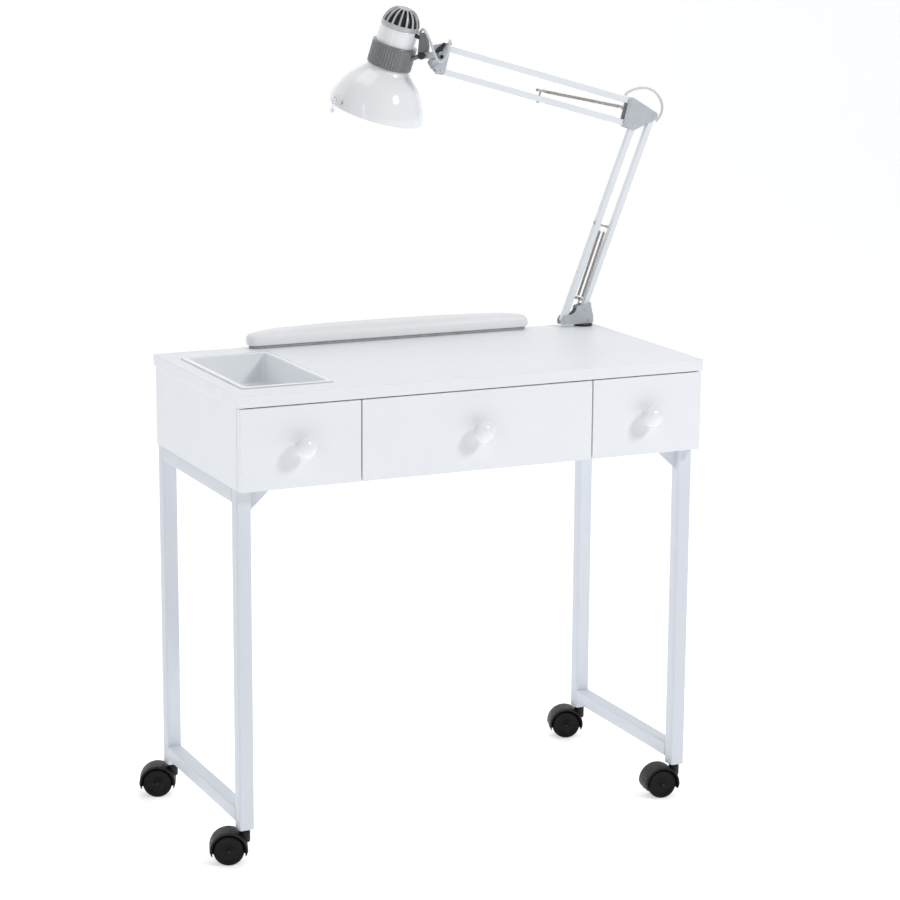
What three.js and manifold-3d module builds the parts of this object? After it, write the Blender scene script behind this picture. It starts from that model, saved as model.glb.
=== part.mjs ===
// Manicure table on castors: a laminated cabinet with three drawers, an inset tray, a wrist cushion
// on the client's edge, and a spring-balanced two-arm lamp. Millimetres, +X right, +Y to the back, +Z up.
// The origin is on the floor, under the middle of the object's box.
import * as THREE from 'three';
import { ConvexGeometry } from 'three/addons/geometries/ConvexGeometry.js';
import { mergeVertices } from 'three/addons/utils/BufferGeometryUtils.js';
import Module from 'manifold-3d';

const wasm = await Module();
wasm.setup();

// ---------------------------------------------------------------- driving dimensions

const GAP = 0.3; // between pieces that touch
const TOP = { width: 850, depth: 416, thickness: 20, height: 795 };
const CABINET = { height: 158, side: 422, rear: 413, board: 16, thin: 12 };
const FRONT = { face: 1, thickness: 16, inset: 3.5, reveal: 2.4, underTop: 2 };
const DRAWER = { wall: 10, floor: 5, clearance: 1.5, depth: 362, height: 100, underTray: 76 };
const DIVIDER_X = 211.5; // half of the middle drawer's width
const KNOB = { radius: 18, reach: 33, neck: 8 };
const TRAY = { x: -317, y: 205, width: 162, depth: 300, lip: 9, deep: 52, wall: 2.5, flange: 2.2, taper: 0.9 };
const CUSHION = { x: 14, front: 384, half: 274, end: 34, crown: 70, corner: 14, board: 4, top: 27 };
const TUBE = { size: 25, wall: 1.5 };
const LEG = { x: 407.7, front: 37, rear: 399.5, foot: 59, railTop: 94, plug: 26 };
const GUSSET = { size: 40, thickness: 3 };
const CASTOR = { trail: 27, wheel: 26, width: 14.5, web: 3.5, hood: 32, shell: 3.5, halfWidth: 20.5, tip: 18 };
const CASTOR_TURN = { front_left: -19, front_right: -9, rear_left: -21, rear_right: -19 }; // degrees about Z
const STEM = { radius: 5, bore: 5.3, boss: 9 };

// The lamp's pivots lie in one upright plane: [x from the table's middle, height over the table top].
const LAMP_Y = 390;
const BAR = { size: 11, wall: 1, pin: 2.5, bore: 2.8 };
const CHEEK = { inner: 6.2, outer: 8.7 };
const LOWER = { length: 375, lean: 21.3 }; // degrees from upright, leaning right
const UPPER = { length: 387, rise: 15.6 }; // degrees over level, rising left
const SWIVEL_X = 397;
const PIVOT_A = [355, 14];
const PIVOT_B = [396, 31];
const ELBOW_GAP = [-15, 5]; // from the lower arm's left pivot to the upper arm's lower pivot
const UPPER_PAIR = [10, 39.8]; // from the upper arm's lower pivot to its top pivot
const SHADE = { x: -25.5, z: 397, tilt: 18.3, rim: 86, neck: 37, height: 85, wall: 2 };
const HEAD = { swivel: -53, collar: 40.3, collarTop: 127.5, housing: 35, housingTop: 157, cap: 34.5, capTop: 194 };
const TILT_PIVOT = [75, 499];
const HEAD_SWIVEL_X = 91;
const WING_NUT = [99, 511];
const CORD_RADIUS = 2.25;

// ---------------------------------------------------------------- materials

const paint = (color, roughness, metalness = 0) => new THREE.MeshStandardMaterial({ color, roughness, metalness });
const LAMINATE = paint(0xf1f2f4, 0.45);
const WHITE_PAINT = paint(0xe9edf2, 0.35, 0.1);
const WHITE_PLASTIC = paint(0xf3f5f7, 0.25);
const VINYL = paint(0xf2f3f5, 0.5);
const LAMP_WHITE = paint(0xf0f2f4, 0.2);
const CAST_GREY = paint(0x9aa0a6, 0.4, 0.6);
const COLLAR_GREY = paint(0x85898d, 0.45, 0.3);
const BLACK_PLASTIC = paint(0x1f1c1b, 0.4);
const SPRING_STEEL = paint(0x857c76, 0.35, 0.9);
const OPAL = paint(0xf8f5ec, 0.3);
const CLEAR = paint(0xe6eaec, 0.1);
const CORD_GREY = paint(0xd9dadb, 0.5);

// ---------------------------------------------------------------- solids

/** A closed geometry with merged corners and its faces turned outwards. */
function closed(geometry) {
  const bare = geometry.clone();
  bare.deleteAttribute('normal');
  bare.deleteAttribute('uv');
  const merged = mergeVertices(bare, 1e-4);
  const at = merged.attributes.position;
  const index = merged.index.array;
  const [a, b, c] = [new THREE.Vector3(), new THREE.Vector3(), new THREE.Vector3()];
  let volume = 0;
  for (let i = 0; i < index.length; i += 3) {
    a.fromBufferAttribute(at, index[i]);
    b.fromBufferAttribute(at, index[i + 1]);
    c.fromBufferAttribute(at, index[i + 2]);
    volume += a.dot(b.cross(c));
  }
  if (volume < 0) index.reverse();
  return merged;
}

function solid(geometry) {
  const merged = closed(geometry);
  const vertProperties = new Float32Array(merged.attributes.position.array);
  const triVerts = new Uint32Array(merged.index.array);
  return new wasm.Manifold(new wasm.Mesh({ numProp: 3, vertProperties, triVerts }));
}

function geometryOf(manifold) {
  const { vertProperties, triVerts } = manifold.getMesh();
  const geometry = new THREE.BufferGeometry();
  geometry.setAttribute('position', new THREE.BufferAttribute(vertProperties, 3));
  geometry.setIndex(new THREE.BufferAttribute(triVerts, 1));
  return geometry;
}

/** The joined shapes, less the cut ones. */
function carve(joined, cuts = []) {
  let body = joined.map(solid).reduce((all, one) => all.add(one));
  for (const cut of cuts) body = body.subtract(solid(cut));
  return geometryOf(body);
}

/** A box between two corners. */
function block([x0, x1], [y0, y1], [z0, z1]) {
  const box = new THREE.BoxGeometry(x1 - x0, y1 - y0, z1 - z0);
  return box.translate((x0 + x1) / 2, (y0 + y1) / 2, (z0 + z1) / 2);
}

/** A box whose lower face is scaled by taper. */
function frustum(width, depth, [z0, z1], taper) {
  const shape = block([-width / 2, width / 2], [-depth / 2, depth / 2], [z0, z1]);
  const at = shape.attributes.position;
  for (let i = 0; i < at.count; i += 1) {
    const share = at.getZ(i) < (z0 + z1) / 2 ? taper : 1;
    at.setXY(i, at.getX(i) * share, at.getY(i) * share);
  }
  return shape;
}

/** An outline of [x, z] points pulled from y0 to y1. */
function prism(outline, [y0, y1]) {
  const shape = new THREE.Shape(outline.map(([x, z]) => new THREE.Vector2(x, z)));
  const pulled = new THREE.ExtrudeGeometry(shape, { depth: y1 - y0, bevelEnabled: false });
  return pulled.rotateX(Math.PI / 2).translate(0, y1, 0);
}

/** A flat plate round several discs [x, z, radius], from y0 to y1. */
function plate(discs, [y0, y1]) {
  const STEPS = 12;
  const points = [];
  for (const [x, z, r] of discs) {
    for (let i = 0; i < STEPS; i += 1) {
      const turn = (i / STEPS) * 2 * Math.PI;
      for (const y of [y0, y1]) points.push(new THREE.Vector3(x + r * Math.cos(turn), y, z + r * Math.sin(turn)));
    }
  }
  return new ConvexGeometry(points);
}

/** A cylinder along Y at [x, z]. */
function crossPin([x, z], radius, [y0, y1], segments = 16) {
  return new THREE.CylinderGeometry(radius, radius, y1 - y0, segments).translate(x, (y0 + y1) / 2, z);
}

/** A cylinder along Z at [x, y]. */
function post([x, y], radius, [z0, z1], segments = 20) {
  const shape = new THREE.CylinderGeometry(radius, radius, z1 - z0, segments).rotateX(Math.PI / 2);
  return shape.translate(x, y, (z0 + z1) / 2);
}

/** A cylinder between two points. */
function rod(from, to, radius, segments = 12) {
  const [a, b] = [new THREE.Vector3(...from), new THREE.Vector3(...to)];
  const along = b.clone().sub(a);
  const shape = new THREE.CylinderGeometry(radius, radius, along.length(), segments);
  shape.applyQuaternion(new THREE.Quaternion().setFromUnitVectors(new THREE.Vector3(0, 1, 0), along.normalize()));
  return shape.translate(...a.add(b).multiplyScalar(0.5).toArray());
}

/** A profile of [radius, height] points turned about Z. */
function turned(profile, segments = 28) {
  const points = profile.map(([r, z]) => new THREE.Vector2(r, z));
  return new THREE.LatheGeometry(points, segments).rotateX(Math.PI / 2);
}

function mesh(name, geometry, material) {
  const made = new THREE.Mesh(closed(geometry), material);
  made.geometry.computeVertexNormals();
  made.name = name;
  return made;
}

function groupAt(name, x, y, z, ...children) {
  const group = new THREE.Group();
  group.name = name;
  group.position.set(x, y, z);
  if (children.length) group.add(...children);
  return group;
}

const mirrored = (x) => [[-1, 'left', -x], [1, 'right', x]];

// ---------------------------------------------------------------- cabinet

const underside = TOP.height - CABINET.height;
const slabBottom = TOP.height - TOP.thickness;
const frontBack = FRONT.face + FRONT.thickness;
const backFront = CABINET.rear - CABINET.thin;
const sideInner = CABINET.side - CABINET.board;
const floorTop = underside + CABINET.thin;

function tabletop() {
  const [w, d] = [TRAY.width - 2 * TRAY.lip + 1, TRAY.depth - 2 * TRAY.lip + 1];
  const slab = block([-TOP.width / 2, TOP.width / 2], [0, TOP.depth], [slabBottom, TOP.height]);
  const hole = block([TRAY.x - w / 2, TRAY.x + w / 2], [TRAY.y - d / 2, TRAY.y + d / 2], [700, 900]);
  return mesh('tabletop', carve([slab], [hole]), LAMINATE);
}

function carcass() {
  const rise = [underside, slabBottom - GAP];
  const run = [frontBack + GAP, CABINET.rear];
  const inside = [frontBack + GAP, backFront - GAP];
  const clear = sideInner - GAP;
  const pieces = [
    mesh('cabinet_back', block([-clear, clear], [backFront, CABINET.rear], rise), LAMINATE),
    mesh('cabinet_bottom', block([-clear, clear], inside, [underside, floorTop]), LAMINATE),
  ];
  for (const [side, word, x] of mirrored(sideInner + CABINET.board / 2)) {
    const across = [x - CABINET.board / 2, x + CABINET.board / 2];
    pieces.push(mesh(`cabinet_side_${word}`, block(across, run, rise), LAMINATE));
    const middle = side * DIVIDER_X;
    const thick = [middle - CABINET.thin / 2, middle + CABINET.thin / 2];
    pieces.push(mesh(`divider_${word}`, block(thick, inside, [floorTop + GAP, rise[1]]), LAMINATE));
  }
  return pieces;
}

/** A drawer: its front between x0 and x1, and its box between the walls at w0 and w1. */
function drawer(name, [x0, x1], [w0, w1], height) {
  const z0 = floorTop + 0.5;
  const rear = frontBack + DRAWER.depth;
  const [b0, b1] = [w0 + DRAWER.clearance, w1 - DRAWER.clearance];
  const outer = block([b0, b1], [frontBack + GAP, rear], [z0, z0 + height]);
  const room = block(
    [b0 + DRAWER.wall, b1 - DRAWER.wall],
    [frontBack + GAP + DRAWER.wall, rear - DRAWER.wall],
    [z0 + DRAWER.floor, z0 + height + 1],
  );
  const face = block([x0, x1], [FRONT.face, frontBack], [underside + 0.5, slabBottom - FRONT.underTop]);
  const knobZ = (underside + slabBottom) / 2;
  const { radius, reach, neck } = KNOB;
  const profile = [[0, 0], [neck + 2, 0], [neck, 5], [neck, 9], [11, 11.5], [radius - 0.5, 15],
    [radius, 19.5], [radius - 2.2, 25], [9, reach - 1.5], [0, reach]];
  const knob = turned(profile, 20).rotateX(Math.PI / 2).translate((x0 + x1) / 2, FRONT.face - GAP, knobZ);
  return groupAt(`slide_${name}`, 0, 0, 0,
    mesh(`drawer_${name}_front`, face, LAMINATE),
    mesh(`drawer_${name}_box`, carve([outer], [room]), LAMINATE),
    mesh(`drawer_${name}_knob`, knob, WHITE_PLASTIC));
}

function drawers() {
  const end = TOP.width / 2 - FRONT.inset;
  const half = FRONT.reveal / 2;
  const wall = CABINET.thin / 2;
  return [
    drawer('left', [-end, -DIVIDER_X - half], [-sideInner, -DIVIDER_X - wall], DRAWER.underTray),
    drawer('middle', [-DIVIDER_X + half, DIVIDER_X - half], [-DIVIDER_X + wall, DIVIDER_X - wall], DRAWER.height),
    drawer('right', [DIVIDER_X + half, end], [DIVIDER_X + wall, sideInner], DRAWER.height),
  ];
}

function tray() {
  const [w, d] = [TRAY.width - 2 * TRAY.lip, TRAY.depth - 2 * TRAY.lip];
  const flangeTop = GAP + TRAY.flange;
  const flange = block([-TRAY.width / 2, TRAY.width / 2], [-TRAY.depth / 2, TRAY.depth / 2], [GAP, flangeTop]);
  const tub = frustum(w, d, [-TRAY.deep, flangeTop], TRAY.taper);
  const room = frustum(w - 2 * TRAY.wall, d - 2 * TRAY.wall, [-TRAY.deep + TRAY.wall, flangeTop + 1], TRAY.taper);
  const made = mesh('tray', carve([flange, tub], [room]), WHITE_PLASTIC);
  made.position.set(TRAY.x, TRAY.y, TOP.height);
  return made;
}

/** The cushion's plan: a straight front, round front corners and a rear edge that bows outwards. */
function bow(inset) {
  const half = CUSHION.half - inset;
  const r = CUSHION.corner;
  const [end, crown] = [CUSHION.end - inset, CUSHION.crown - inset];
  const shape = new THREE.Shape();
  shape.moveTo(-half + r, inset);
  shape.lineTo(half - r, inset);
  shape.absarc(half - r, inset + r, r, -Math.PI / 2, 0, false);
  shape.lineTo(half, end - 8);
  shape.bezierCurveTo(half - 6, end + 12, half * 0.55, crown, 0, crown);
  shape.bezierCurveTo(-half * 0.55, crown, -half + 6, end + 12, -half, end - 8);
  shape.absarc(-half + r, inset + r, r, Math.PI, 1.5 * Math.PI, false);
  return shape;
}

function armrest() {
  const board = new THREE.ExtrudeGeometry(bow(6), { depth: CUSHION.board, bevelEnabled: false, curveSegments: 8 });
  const bevel = 5;
  const padBase = CUSHION.board + 2 * GAP;
  const pad = new THREE.ExtrudeGeometry(bow(bevel), {
    depth: CUSHION.top - padBase - 2 * bevel,
    bevelThickness: bevel,
    bevelSize: bevel,
    bevelSegments: 2,
    curveSegments: 8,
  });
  const made = [
    mesh('armrest_board', board.translate(0, 0, GAP), COLLAR_GREY),
    mesh('armrest_cushion', pad.translate(0, 0, padBase + bevel), VINYL),
  ];
  return groupAt('armrest', CUSHION.x, CUSHION.front, TOP.height, ...made);
}

// ---------------------------------------------------------------- steel frames and castors

const halfTube = TUBE.size / 2;
const corners = [
  ['front_left', -1, LEG.front],
  ['front_right', 1, LEG.front],
  ['rear_left', -1, LEG.rear],
  ['rear_right', 1, LEG.rear],
];

/** A leg: square tube with a plug at its foot, bored for the castor's stem, and a gusset on a front leg. */
function leg(word, side, y) {
  const top = underside - GAP;
  const plugTop = LEG.foot + LEG.plug;
  const hollow = halfTube - TUBE.wall;
  const parts = [block([-halfTube, halfTube], [-halfTube, halfTube], [LEG.foot, top])];
  if (word.startsWith('front')) {
    const [near, far] = [-side * (halfTube - 0.5), -side * (halfTube + GUSSET.size)];
    const half = GUSSET.thickness / 2;
    parts.push(prism([[near, top], [far, top], [far, top - 3], [near, top - GUSSET.size]], [-half, half]));
  }
  const cuts = [
    block([-hollow, hollow], [-hollow, hollow], [plugTop, top + 1]),
    post([0, 0], STEM.bore, [LEG.foot - 1, plugTop + 1]),
  ];
  const made = mesh(`leg_${word}`, carve(parts, cuts), WHITE_PAINT);
  made.position.set(side * LEG.x, y, 0);
  return made;
}

/** A square tube from the front leg to the rear leg, its top at z. */
function rail(name, side, z) {
  const [y0, y1] = [LEG.front + halfTube + GAP, LEG.rear - halfTube - GAP];
  const hollow = halfTube - TUBE.wall;
  const outer = block([-halfTube, halfTube], [y0, y1], [-TUBE.size, 0]);
  const room = block([-hollow, hollow], [y0 - 1, y1 + 1], [-TUBE.size + TUBE.wall, -TUBE.wall]);
  const made = mesh(name, carve([outer], [room]), WHITE_PAINT);
  made.position.set(side * LEG.x, 0, z);
  return made;
}

function frames() {
  const pieces = corners.map(([word, side, y]) => leg(word, side, y));
  for (const [side, word] of mirrored(0)) {
    pieces.push(rail(`bottom_rail_${word}`, side, LEG.railTop));
    pieces.push(rail(`top_rail_${word}`, side, underside - GAP));
  }
  return pieces;
}

/** Points of an arc in the XZ plane, in degrees from +X. */
function arc([x, z], radius, from, to, steps) {
  const turn = (i) => THREE.MathUtils.degToRad(from + ((to - from) * i) / steps);
  return Array.from({ length: steps + 1 }, (_, i) => [x + radius * Math.cos(turn(i)), z + radius * Math.sin(turn(i))]);
}

/** The castor's hood with its web, axle, boss and stem. The stem is on Z and the wheels trail to -X. */
function castorHood(word) {
  const { tip, hood, shell, halfWidth, web, trail, wheel } = CASTOR;
  const hub = [-trail, wheel];
  const outer = arc(hub, hood, -tip, 180 + tip, 16);
  const inner = arc(hub, hood - shell, 180 + tip, -tip, 16);
  const parts = [
    prism([...outer, ...inner], [-halfWidth, halfWidth]),
    prism(arc(hub, hood - 1, -tip, 180 + tip, 16), [-web, web]),
    crossPin(hub, 3.4, [1 - halfWidth, halfWidth - 1]),
    post([0, 0], STEM.boss, [38, LEG.foot - 1]),
    post([0, 0], STEM.radius, [50, LEG.foot + LEG.plug - 2]),
  ];
  const cuts = [web + 0.4, -web - 0.4].map((y) => {
    const well = crossPin(hub, hood - shell, y > 0 ? [y, halfWidth + 1] : [-halfWidth - 1, y], 32);
    return geometryOf(solid(well).subtract(solid(crossPin(hub, 3.4, [-halfWidth, halfWidth]))));
  });
  return mesh(`castor_${word}_hood`, carve(parts, cuts), BLACK_PLASTIC);
}

function castorWheel(word, end, direction) {
  const { web, width, wheel } = CASTOR;
  const inner = web + 0.8;
  const outer = inner + width;
  const profile = [[3.8, inner], [wheel - 2, inner], [wheel, inner + 2], [wheel, outer - 4], [wheel - 2.5, outer - 1],
    [wheel - 6, outer], [3.8, outer], [3.8, inner]];
  const shape = turned(profile, 24).rotateX(direction * Math.PI / 2);
  return mesh(`castor_${word}_wheel_${end}`, shape, BLACK_PLASTIC);
}

function castor(word, side, y) {
  const axle = [-CASTOR.trail, 0, CASTOR.wheel];
  const wheels = [
    groupAt(`roll_${word}_near`, ...axle, castorWheel(word, 'near', 1)),
    groupAt(`roll_${word}_far`, ...axle, castorWheel(word, 'far', -1)),
  ];
  const swivel = groupAt(`swivel_${word}`, side * LEG.x, y, 0, castorHood(word), ...wheels);
  swivel.rotation.z = radians(CASTOR_TURN[word]);
  return swivel;
}

// ---------------------------------------------------------------- lamp

const radians = THREE.MathUtils.degToRad;
const shifted = ([x, z], [dx, dz], share = 1) => [x + dx * share, z + dz * share];
const lowerRun = [Math.sin(radians(LOWER.lean)), Math.cos(radians(LOWER.lean))];
const upperRun = [-Math.cos(radians(UPPER.rise)), Math.sin(radians(UPPER.rise))];
const elbowLeft = shifted(PIVOT_A, lowerRun, LOWER.length);
const elbowRight = shifted(PIVOT_B, lowerRun, LOWER.length);
const elbowLow = shifted(elbowLeft, ELBOW_GAP);
const elbowTop = shifted(elbowLow, UPPER_PAIR);
const headLow = shifted(elbowLow, upperRun, UPPER.length);
const headTop = shifted(elbowTop, upperRun, UPPER.length);

/** A group whose origin is a pivot of the lamp. Shapes drawn in the lamp's plane are hung on it by hang(). */
function pivot(name, parent, [x, z]) {
  const [px, pz] = parent.userData.home ?? [0, 0];
  const group = groupAt(name, x - px, 0, z - pz);
  group.userData.home = [x, z];
  parent.add(group);
  return group;
}

function hang(group, ...meshes) {
  const [x, z] = group.userData.home;
  for (const one of meshes) one.geometry.translate(-x, 0, -z);
  group.add(...meshes);
}

/** The inner and outer faces of the two cheeks of a bracket. */
const cheeks = [[-CHEEK.outer, -CHEEK.inner], [CHEEK.inner, CHEEK.outer]];

/** A square tube of the arm with round ends, along +X from its first pivot, bored for a pin at each end. */
function barShape(length) {
  const half = BAR.size / 2;
  const room = half - BAR.wall;
  const bores = [0, length].map((x) => crossPin([x, 0], BAR.bore, [-half - 1, half + 1], 12));
  return {
    outer: plate([[0, 0, half], [length, 0, half]], [-half, half]),
    cuts: [block([-half - 1, length + half + 1], [-room, room], [-room, room]), ...bores],
  };
}

/** A post on the bar's side at a distance along it, with the cross-pin that a pair of springs hooks on. */
function springPost(along, side) {
  const half = BAR.size / 2;
  const head = side * 15;
  return [
    rod([along, 0, side * (half - 0.5)], [along, 0, head], 1.8),
    rod([along, 0, -side * (half - 0.5)], [along, 0, -side * (half + 2.5)], 2.6),
    crossPin([along, head], 1.8, [-14, 14], 12),
    crossPin([along, head], 3, [-14.5, -11.5], 12),
    crossPin([along, head], 3, [11.5, 14.5], 12),
  ];
}

/** A bar mesh turned so that it runs from its pivot at an angle, in degrees over +X. */
function bar(name, length, angle, extras = []) {
  const { outer, cuts } = barShape(length);
  const made = mesh(name, carve([outer, ...extras], cuts), LAMP_WHITE);
  made.rotation.y = -radians(angle);
  return made;
}

/** Two springs side by side, with the yoke that ties them at one end and the link that holds it. */
function springPair(name, [x0, z0], [x1, z1], anchor) {
  const OFFSET = 7;
  const springs = [-OFFSET, OFFSET].map((y) => rod([x0, y, z0], [x1, y, z1], 3.4));
  const yoke = crossPin([x0, z0], 1.8, [-14, 14], 12);
  const balls = [[-14.5, -11.5], [11.5, 14.5]].map((run) => crossPin([x0, z0], 3, run, 12));
  const link = rod([x0, 0, z0], [anchor[0], 0, anchor[1]], 1.5, 8);
  return mesh(name, carve([...springs, yoke, ...balls, link]), SPRING_STEEL);
}

function lampFoot() {
  const flange = post([SWIVEL_X, 0], 17, [GAP, 4]);
  const spigot = post([SWIVEL_X, 0], 5, [2, 19]);
  return mesh('lamp_foot', carve([flange, spigot]), BLACK_PLASTIC);
}

function lampBase() {
  const discs = [[...PIVOT_A, 8], [384, 33, 5], [403, 38, 5], [409, 12, 5]];
  const walls = cheeks.map((run) => plate(discs, run));
  const floor = block([370, 413], [-CHEEK.inner - 1, CHEEK.inner + 1], [4.5, 9]);
  const hub = post([SWIVEL_X, 0], 7.5, [4.5, 20]);
  const pins = [PIVOT_A, PIVOT_B].map((p) => crossPin(p, BAR.pin, [-9.5, 9.5]));
  const hook = crossPin([384, 34], 1.6, [-8, 8], 12);
  const trim = block([340, 420], [-20, 20], [-20, 4.4]);
  const bore = post([SWIVEL_X, 0], 5.3, [0, 19.6]);
  return mesh('lamp_base_bracket', carve([...walls, floor, hub, ...pins, hook], [trim, bore]), CAST_GREY);
}

function elbowBracket() {
  const discs = [[...elbowTop, 7], [...elbowRight, 7.5], [...elbowLeft, 7.5], [...elbowLow, 7]];
  const pins = [elbowTop, elbowRight, elbowLeft, elbowLow].map((p) => crossPin(p, BAR.pin, [-10, 10]));
  return mesh('elbow_bracket', carve([...cheeks.map((run) => plate(discs, run)), ...pins]), CAST_GREY);
}

function headBracket() {
  const discs = [[...headTop, 7], [...headLow, 7], [HEAD_SWIVEL_X, 487, 7], [...WING_NUT, 6.5]];
  const pins = [headTop, headLow].map((p) => crossPin(p, BAR.pin, [-10, 10]));
  const lug = block([HEAD_SWIVEL_X - 8, HEAD_SWIVEL_X + 6], [-CHEEK.outer, CHEEK.outer], [480.5, 493]);
  const bore = post([HEAD_SWIVEL_X, 0], 4.2, [470, 500]);
  const notch = block([70, HEAD_SWIVEL_X + 7.6], [-20, 20], [493.1, 505.3]);
  return mesh('head_bracket', carve([...cheeks.map((run) => plate(discs, run)), ...pins, lug], [bore, notch]), CAST_GREY);
}

function knuckle() {
  const [x, z] = TILT_PIVOT;
  const arms = [[-7, -4], [4, 7]].map((run) => plate([[x, z, 5.5], [HEAD_SWIVEL_X, z, 5.5]], run));
  const bridge = block([x + 8.5, HEAD_SWIVEL_X + 4], [-5, 5], [z - 5.4, z + 1]);
  const pin = crossPin([x, z], BAR.pin, [-8, 8]);
  const stem = post([HEAD_SWIVEL_X, 0], 3.9, [477, z]);
  return mesh('head_knuckle', carve([...arms, bridge, pin, stem]), CAST_GREY);
}

/** A flat wing nut on the near face of the head bracket. */
function wingNut() {
  const [x, z] = WING_NUT;
  const hub = crossPin([x, z], 4.5, [-15, -CHEEK.outer - GAP]);
  const wings = plate([[x - 7.5, z - 4, 3.2], [x + 6.5, z + 8, 3.2], [x, z, 4]], [-14, -11.5]);
  return mesh('wing_nut', carve([hub, wings]), BLACK_PLASTIC);
}

function thumbScrew() {
  const knob = crossPin(TILT_PIVOT, 6.5, [-19, -10], 18);
  const shank = crossPin(TILT_PIVOT, 3.2, [-12, -8 - GAP], 12);
  return mesh('tilt_thumb_screw', carve([knob, shank]), BLACK_PLASTIC);
}

/** The collar, with the leaf-shaped lug and two spacers that join it to the tilt pivot. */
function collarCasting() {
  const { neck, height } = SHADE;
  const seat = height + 6;
  const { collar, collarTop, housing } = HEAD;
  const ring = turned([[neck - 2, height], [collar, height], [collar, collarTop], [housing + 0.4, collarTop],
    [housing + 0.4, seat], [neck - 2, seat], [neck - 2, height]]);
  ring.rotateY(radians(SHADE.tilt)).translate(SHADE.x, 0, SHADE.z);
  const [x, z] = TILT_PIVOT;
  const leaf = plate([[x - 1, z, 5.6], [x - 7, z - 1, 7], [x - 4, z + 33, 6.5], [x + 1, z + 16, 6]], [-3.4, 3.4]);
  const spacer = rod([x - 9, 0, z - 1], [x - 28, 0, z - 8], 4);
  const eye = crossPin(TILT_PIVOT, BAR.bore, [-10, 10]);
  return mesh('lamp_collar', carve([ring, leaf, spacer], [eye]), COLLAR_GREY);
}

/** The head's turned pieces, on a +Z axis from the middle of the shade's rim. */
function headPieces() {
  const { rim, neck, height, wall } = SHADE;
  const bell = [[rim - 1.5, 0], [rim, 3.5], [rim - 1.7, 15], [rim - 7.5, 30], [rim - 15.5, 45], [rim - 25.5, 58],
    [rim - 37, 69.5], [neck + 4, 77.5], [neck, height - GAP]];
  const inside = bell.map(([r, z]) => [r - wall, z]).reverse();
  const shade = turned([...bell, ...inside, bell[0]], 32);
  const seat = height + 2;
  const body = HEAD.housing;
  const housing = turned([[14, seat + 5], [body, seat + 5], [body, HEAD.housingTop], [body - 2, HEAD.housingTop],
    [body - 2, seat + 8], [14, seat + 8], [14, seat + 5]]);
  const dome = (r, top) => Array.from({ length: 7 }, (_, i) => {
    const lift = (i / 6) * (Math.PI / 2);
    return [i === 6 ? 0 : r * Math.cos(lift) ** 0.8, HEAD.housingTop + GAP + top * Math.sin(lift)];
  });
  const capRise = HEAD.capTop - HEAD.housingTop - GAP;
  const cap = turned([...dome(HEAD.cap, capRise), ...dome(HEAD.cap - 2, capRise - 2).reverse(), dome(HEAD.cap, 0)[0]]);
  const SLOTS = 16;
  const slots = Array.from({ length: SLOTS }, (_, i) => {
    const slot = block([13, 40], [-1.6, 1.6], [HEAD.housingTop + 8, HEAD.capTop - 1.5]);
    return slot.rotateZ((i / SLOTS) * 2 * Math.PI);
  });
  const bulb = turned([[0, 13], [14, 15.5], [25, 23], [30, 36], [29, 47], [23, 60], [15.5, 72], [13.3, 78],
    [13.3, 98], [0, 98]], 20);
  return [
    mesh('lamp_shade', shade, LAMP_WHITE),
    mesh('lamp_housing', housing, LAMP_WHITE),
    mesh('vent_cap', carve([cap], slots), CAST_GREY),
    mesh('bulb', bulb, OPAL),
    shadeHandle(),
  ];
}

const HANDLE_TURN = 66;

/** A clear V-shaped grip hung on the rim, turned from the point opposite the arm. */
function shadeHandle() {
  const reach = SHADE.rim + GAP + 0.6;
  const strap = (y) => rod([-reach - 1, y, 16], [-reach - 9, 0, -9], 2.4, 10);
  const grip = rod([-reach - 9, 0, -13], [-reach - 9, 0, -4], 3.4, 10);
  const hooks = [-9, 9].map((y) => rod([-reach - 1, y, 16], [-reach - 1, y, 9], 2.4, 10));
  const whole = carve([strap(-9), strap(9), grip, ...hooks]);
  return mesh('shade_handle', whole.rotateZ(radians(HANDLE_TURN)), CLEAR);
}

/** A flex along a smooth curve through points [x, y, z] in the lamp's plane. */
function flex(name, points, steps) {
  const curve = new THREE.CatmullRomCurve3(points.map((p) => new THREE.Vector3(...p)));
  const shape = new THREE.Shape();
  shape.absarc(0, 0, CORD_RADIUS, 0, 2 * Math.PI, false);
  const made = new THREE.ExtrudeGeometry(shape, { steps, extrudePath: curve, curveSegments: 4 });
  return mesh(name, made, CORD_GREY);
}

const ELBOW_FLEX = [[476, 0, 418.4], [479, 0, 423], [489, 0, 427.5], [504, 0, 431], [520, 0, 430.5], [535, 0, 424.5],
  [547, 0, 413], [553, 0, 399], [552.5, 0, 386], [547, 0, 376], [541, 0, 369.5]];
const HEAD_FLEX = [[124, 0, 517], [123, -2, 521.5], [119.5, -8, 525], [115, -15, 521], [111.5, -19, 510],
  [107, -20, 498], [100, -20, 490], [93, -19.5, 490], [87, -18, 499], [84, -12.5, 513], [82.5, -2.5, 527],
  [80.5, 8, 538.5], [80, 17, 544], [79.5, 25, 541.5], [78, 30.5, 535.5]];

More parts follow.
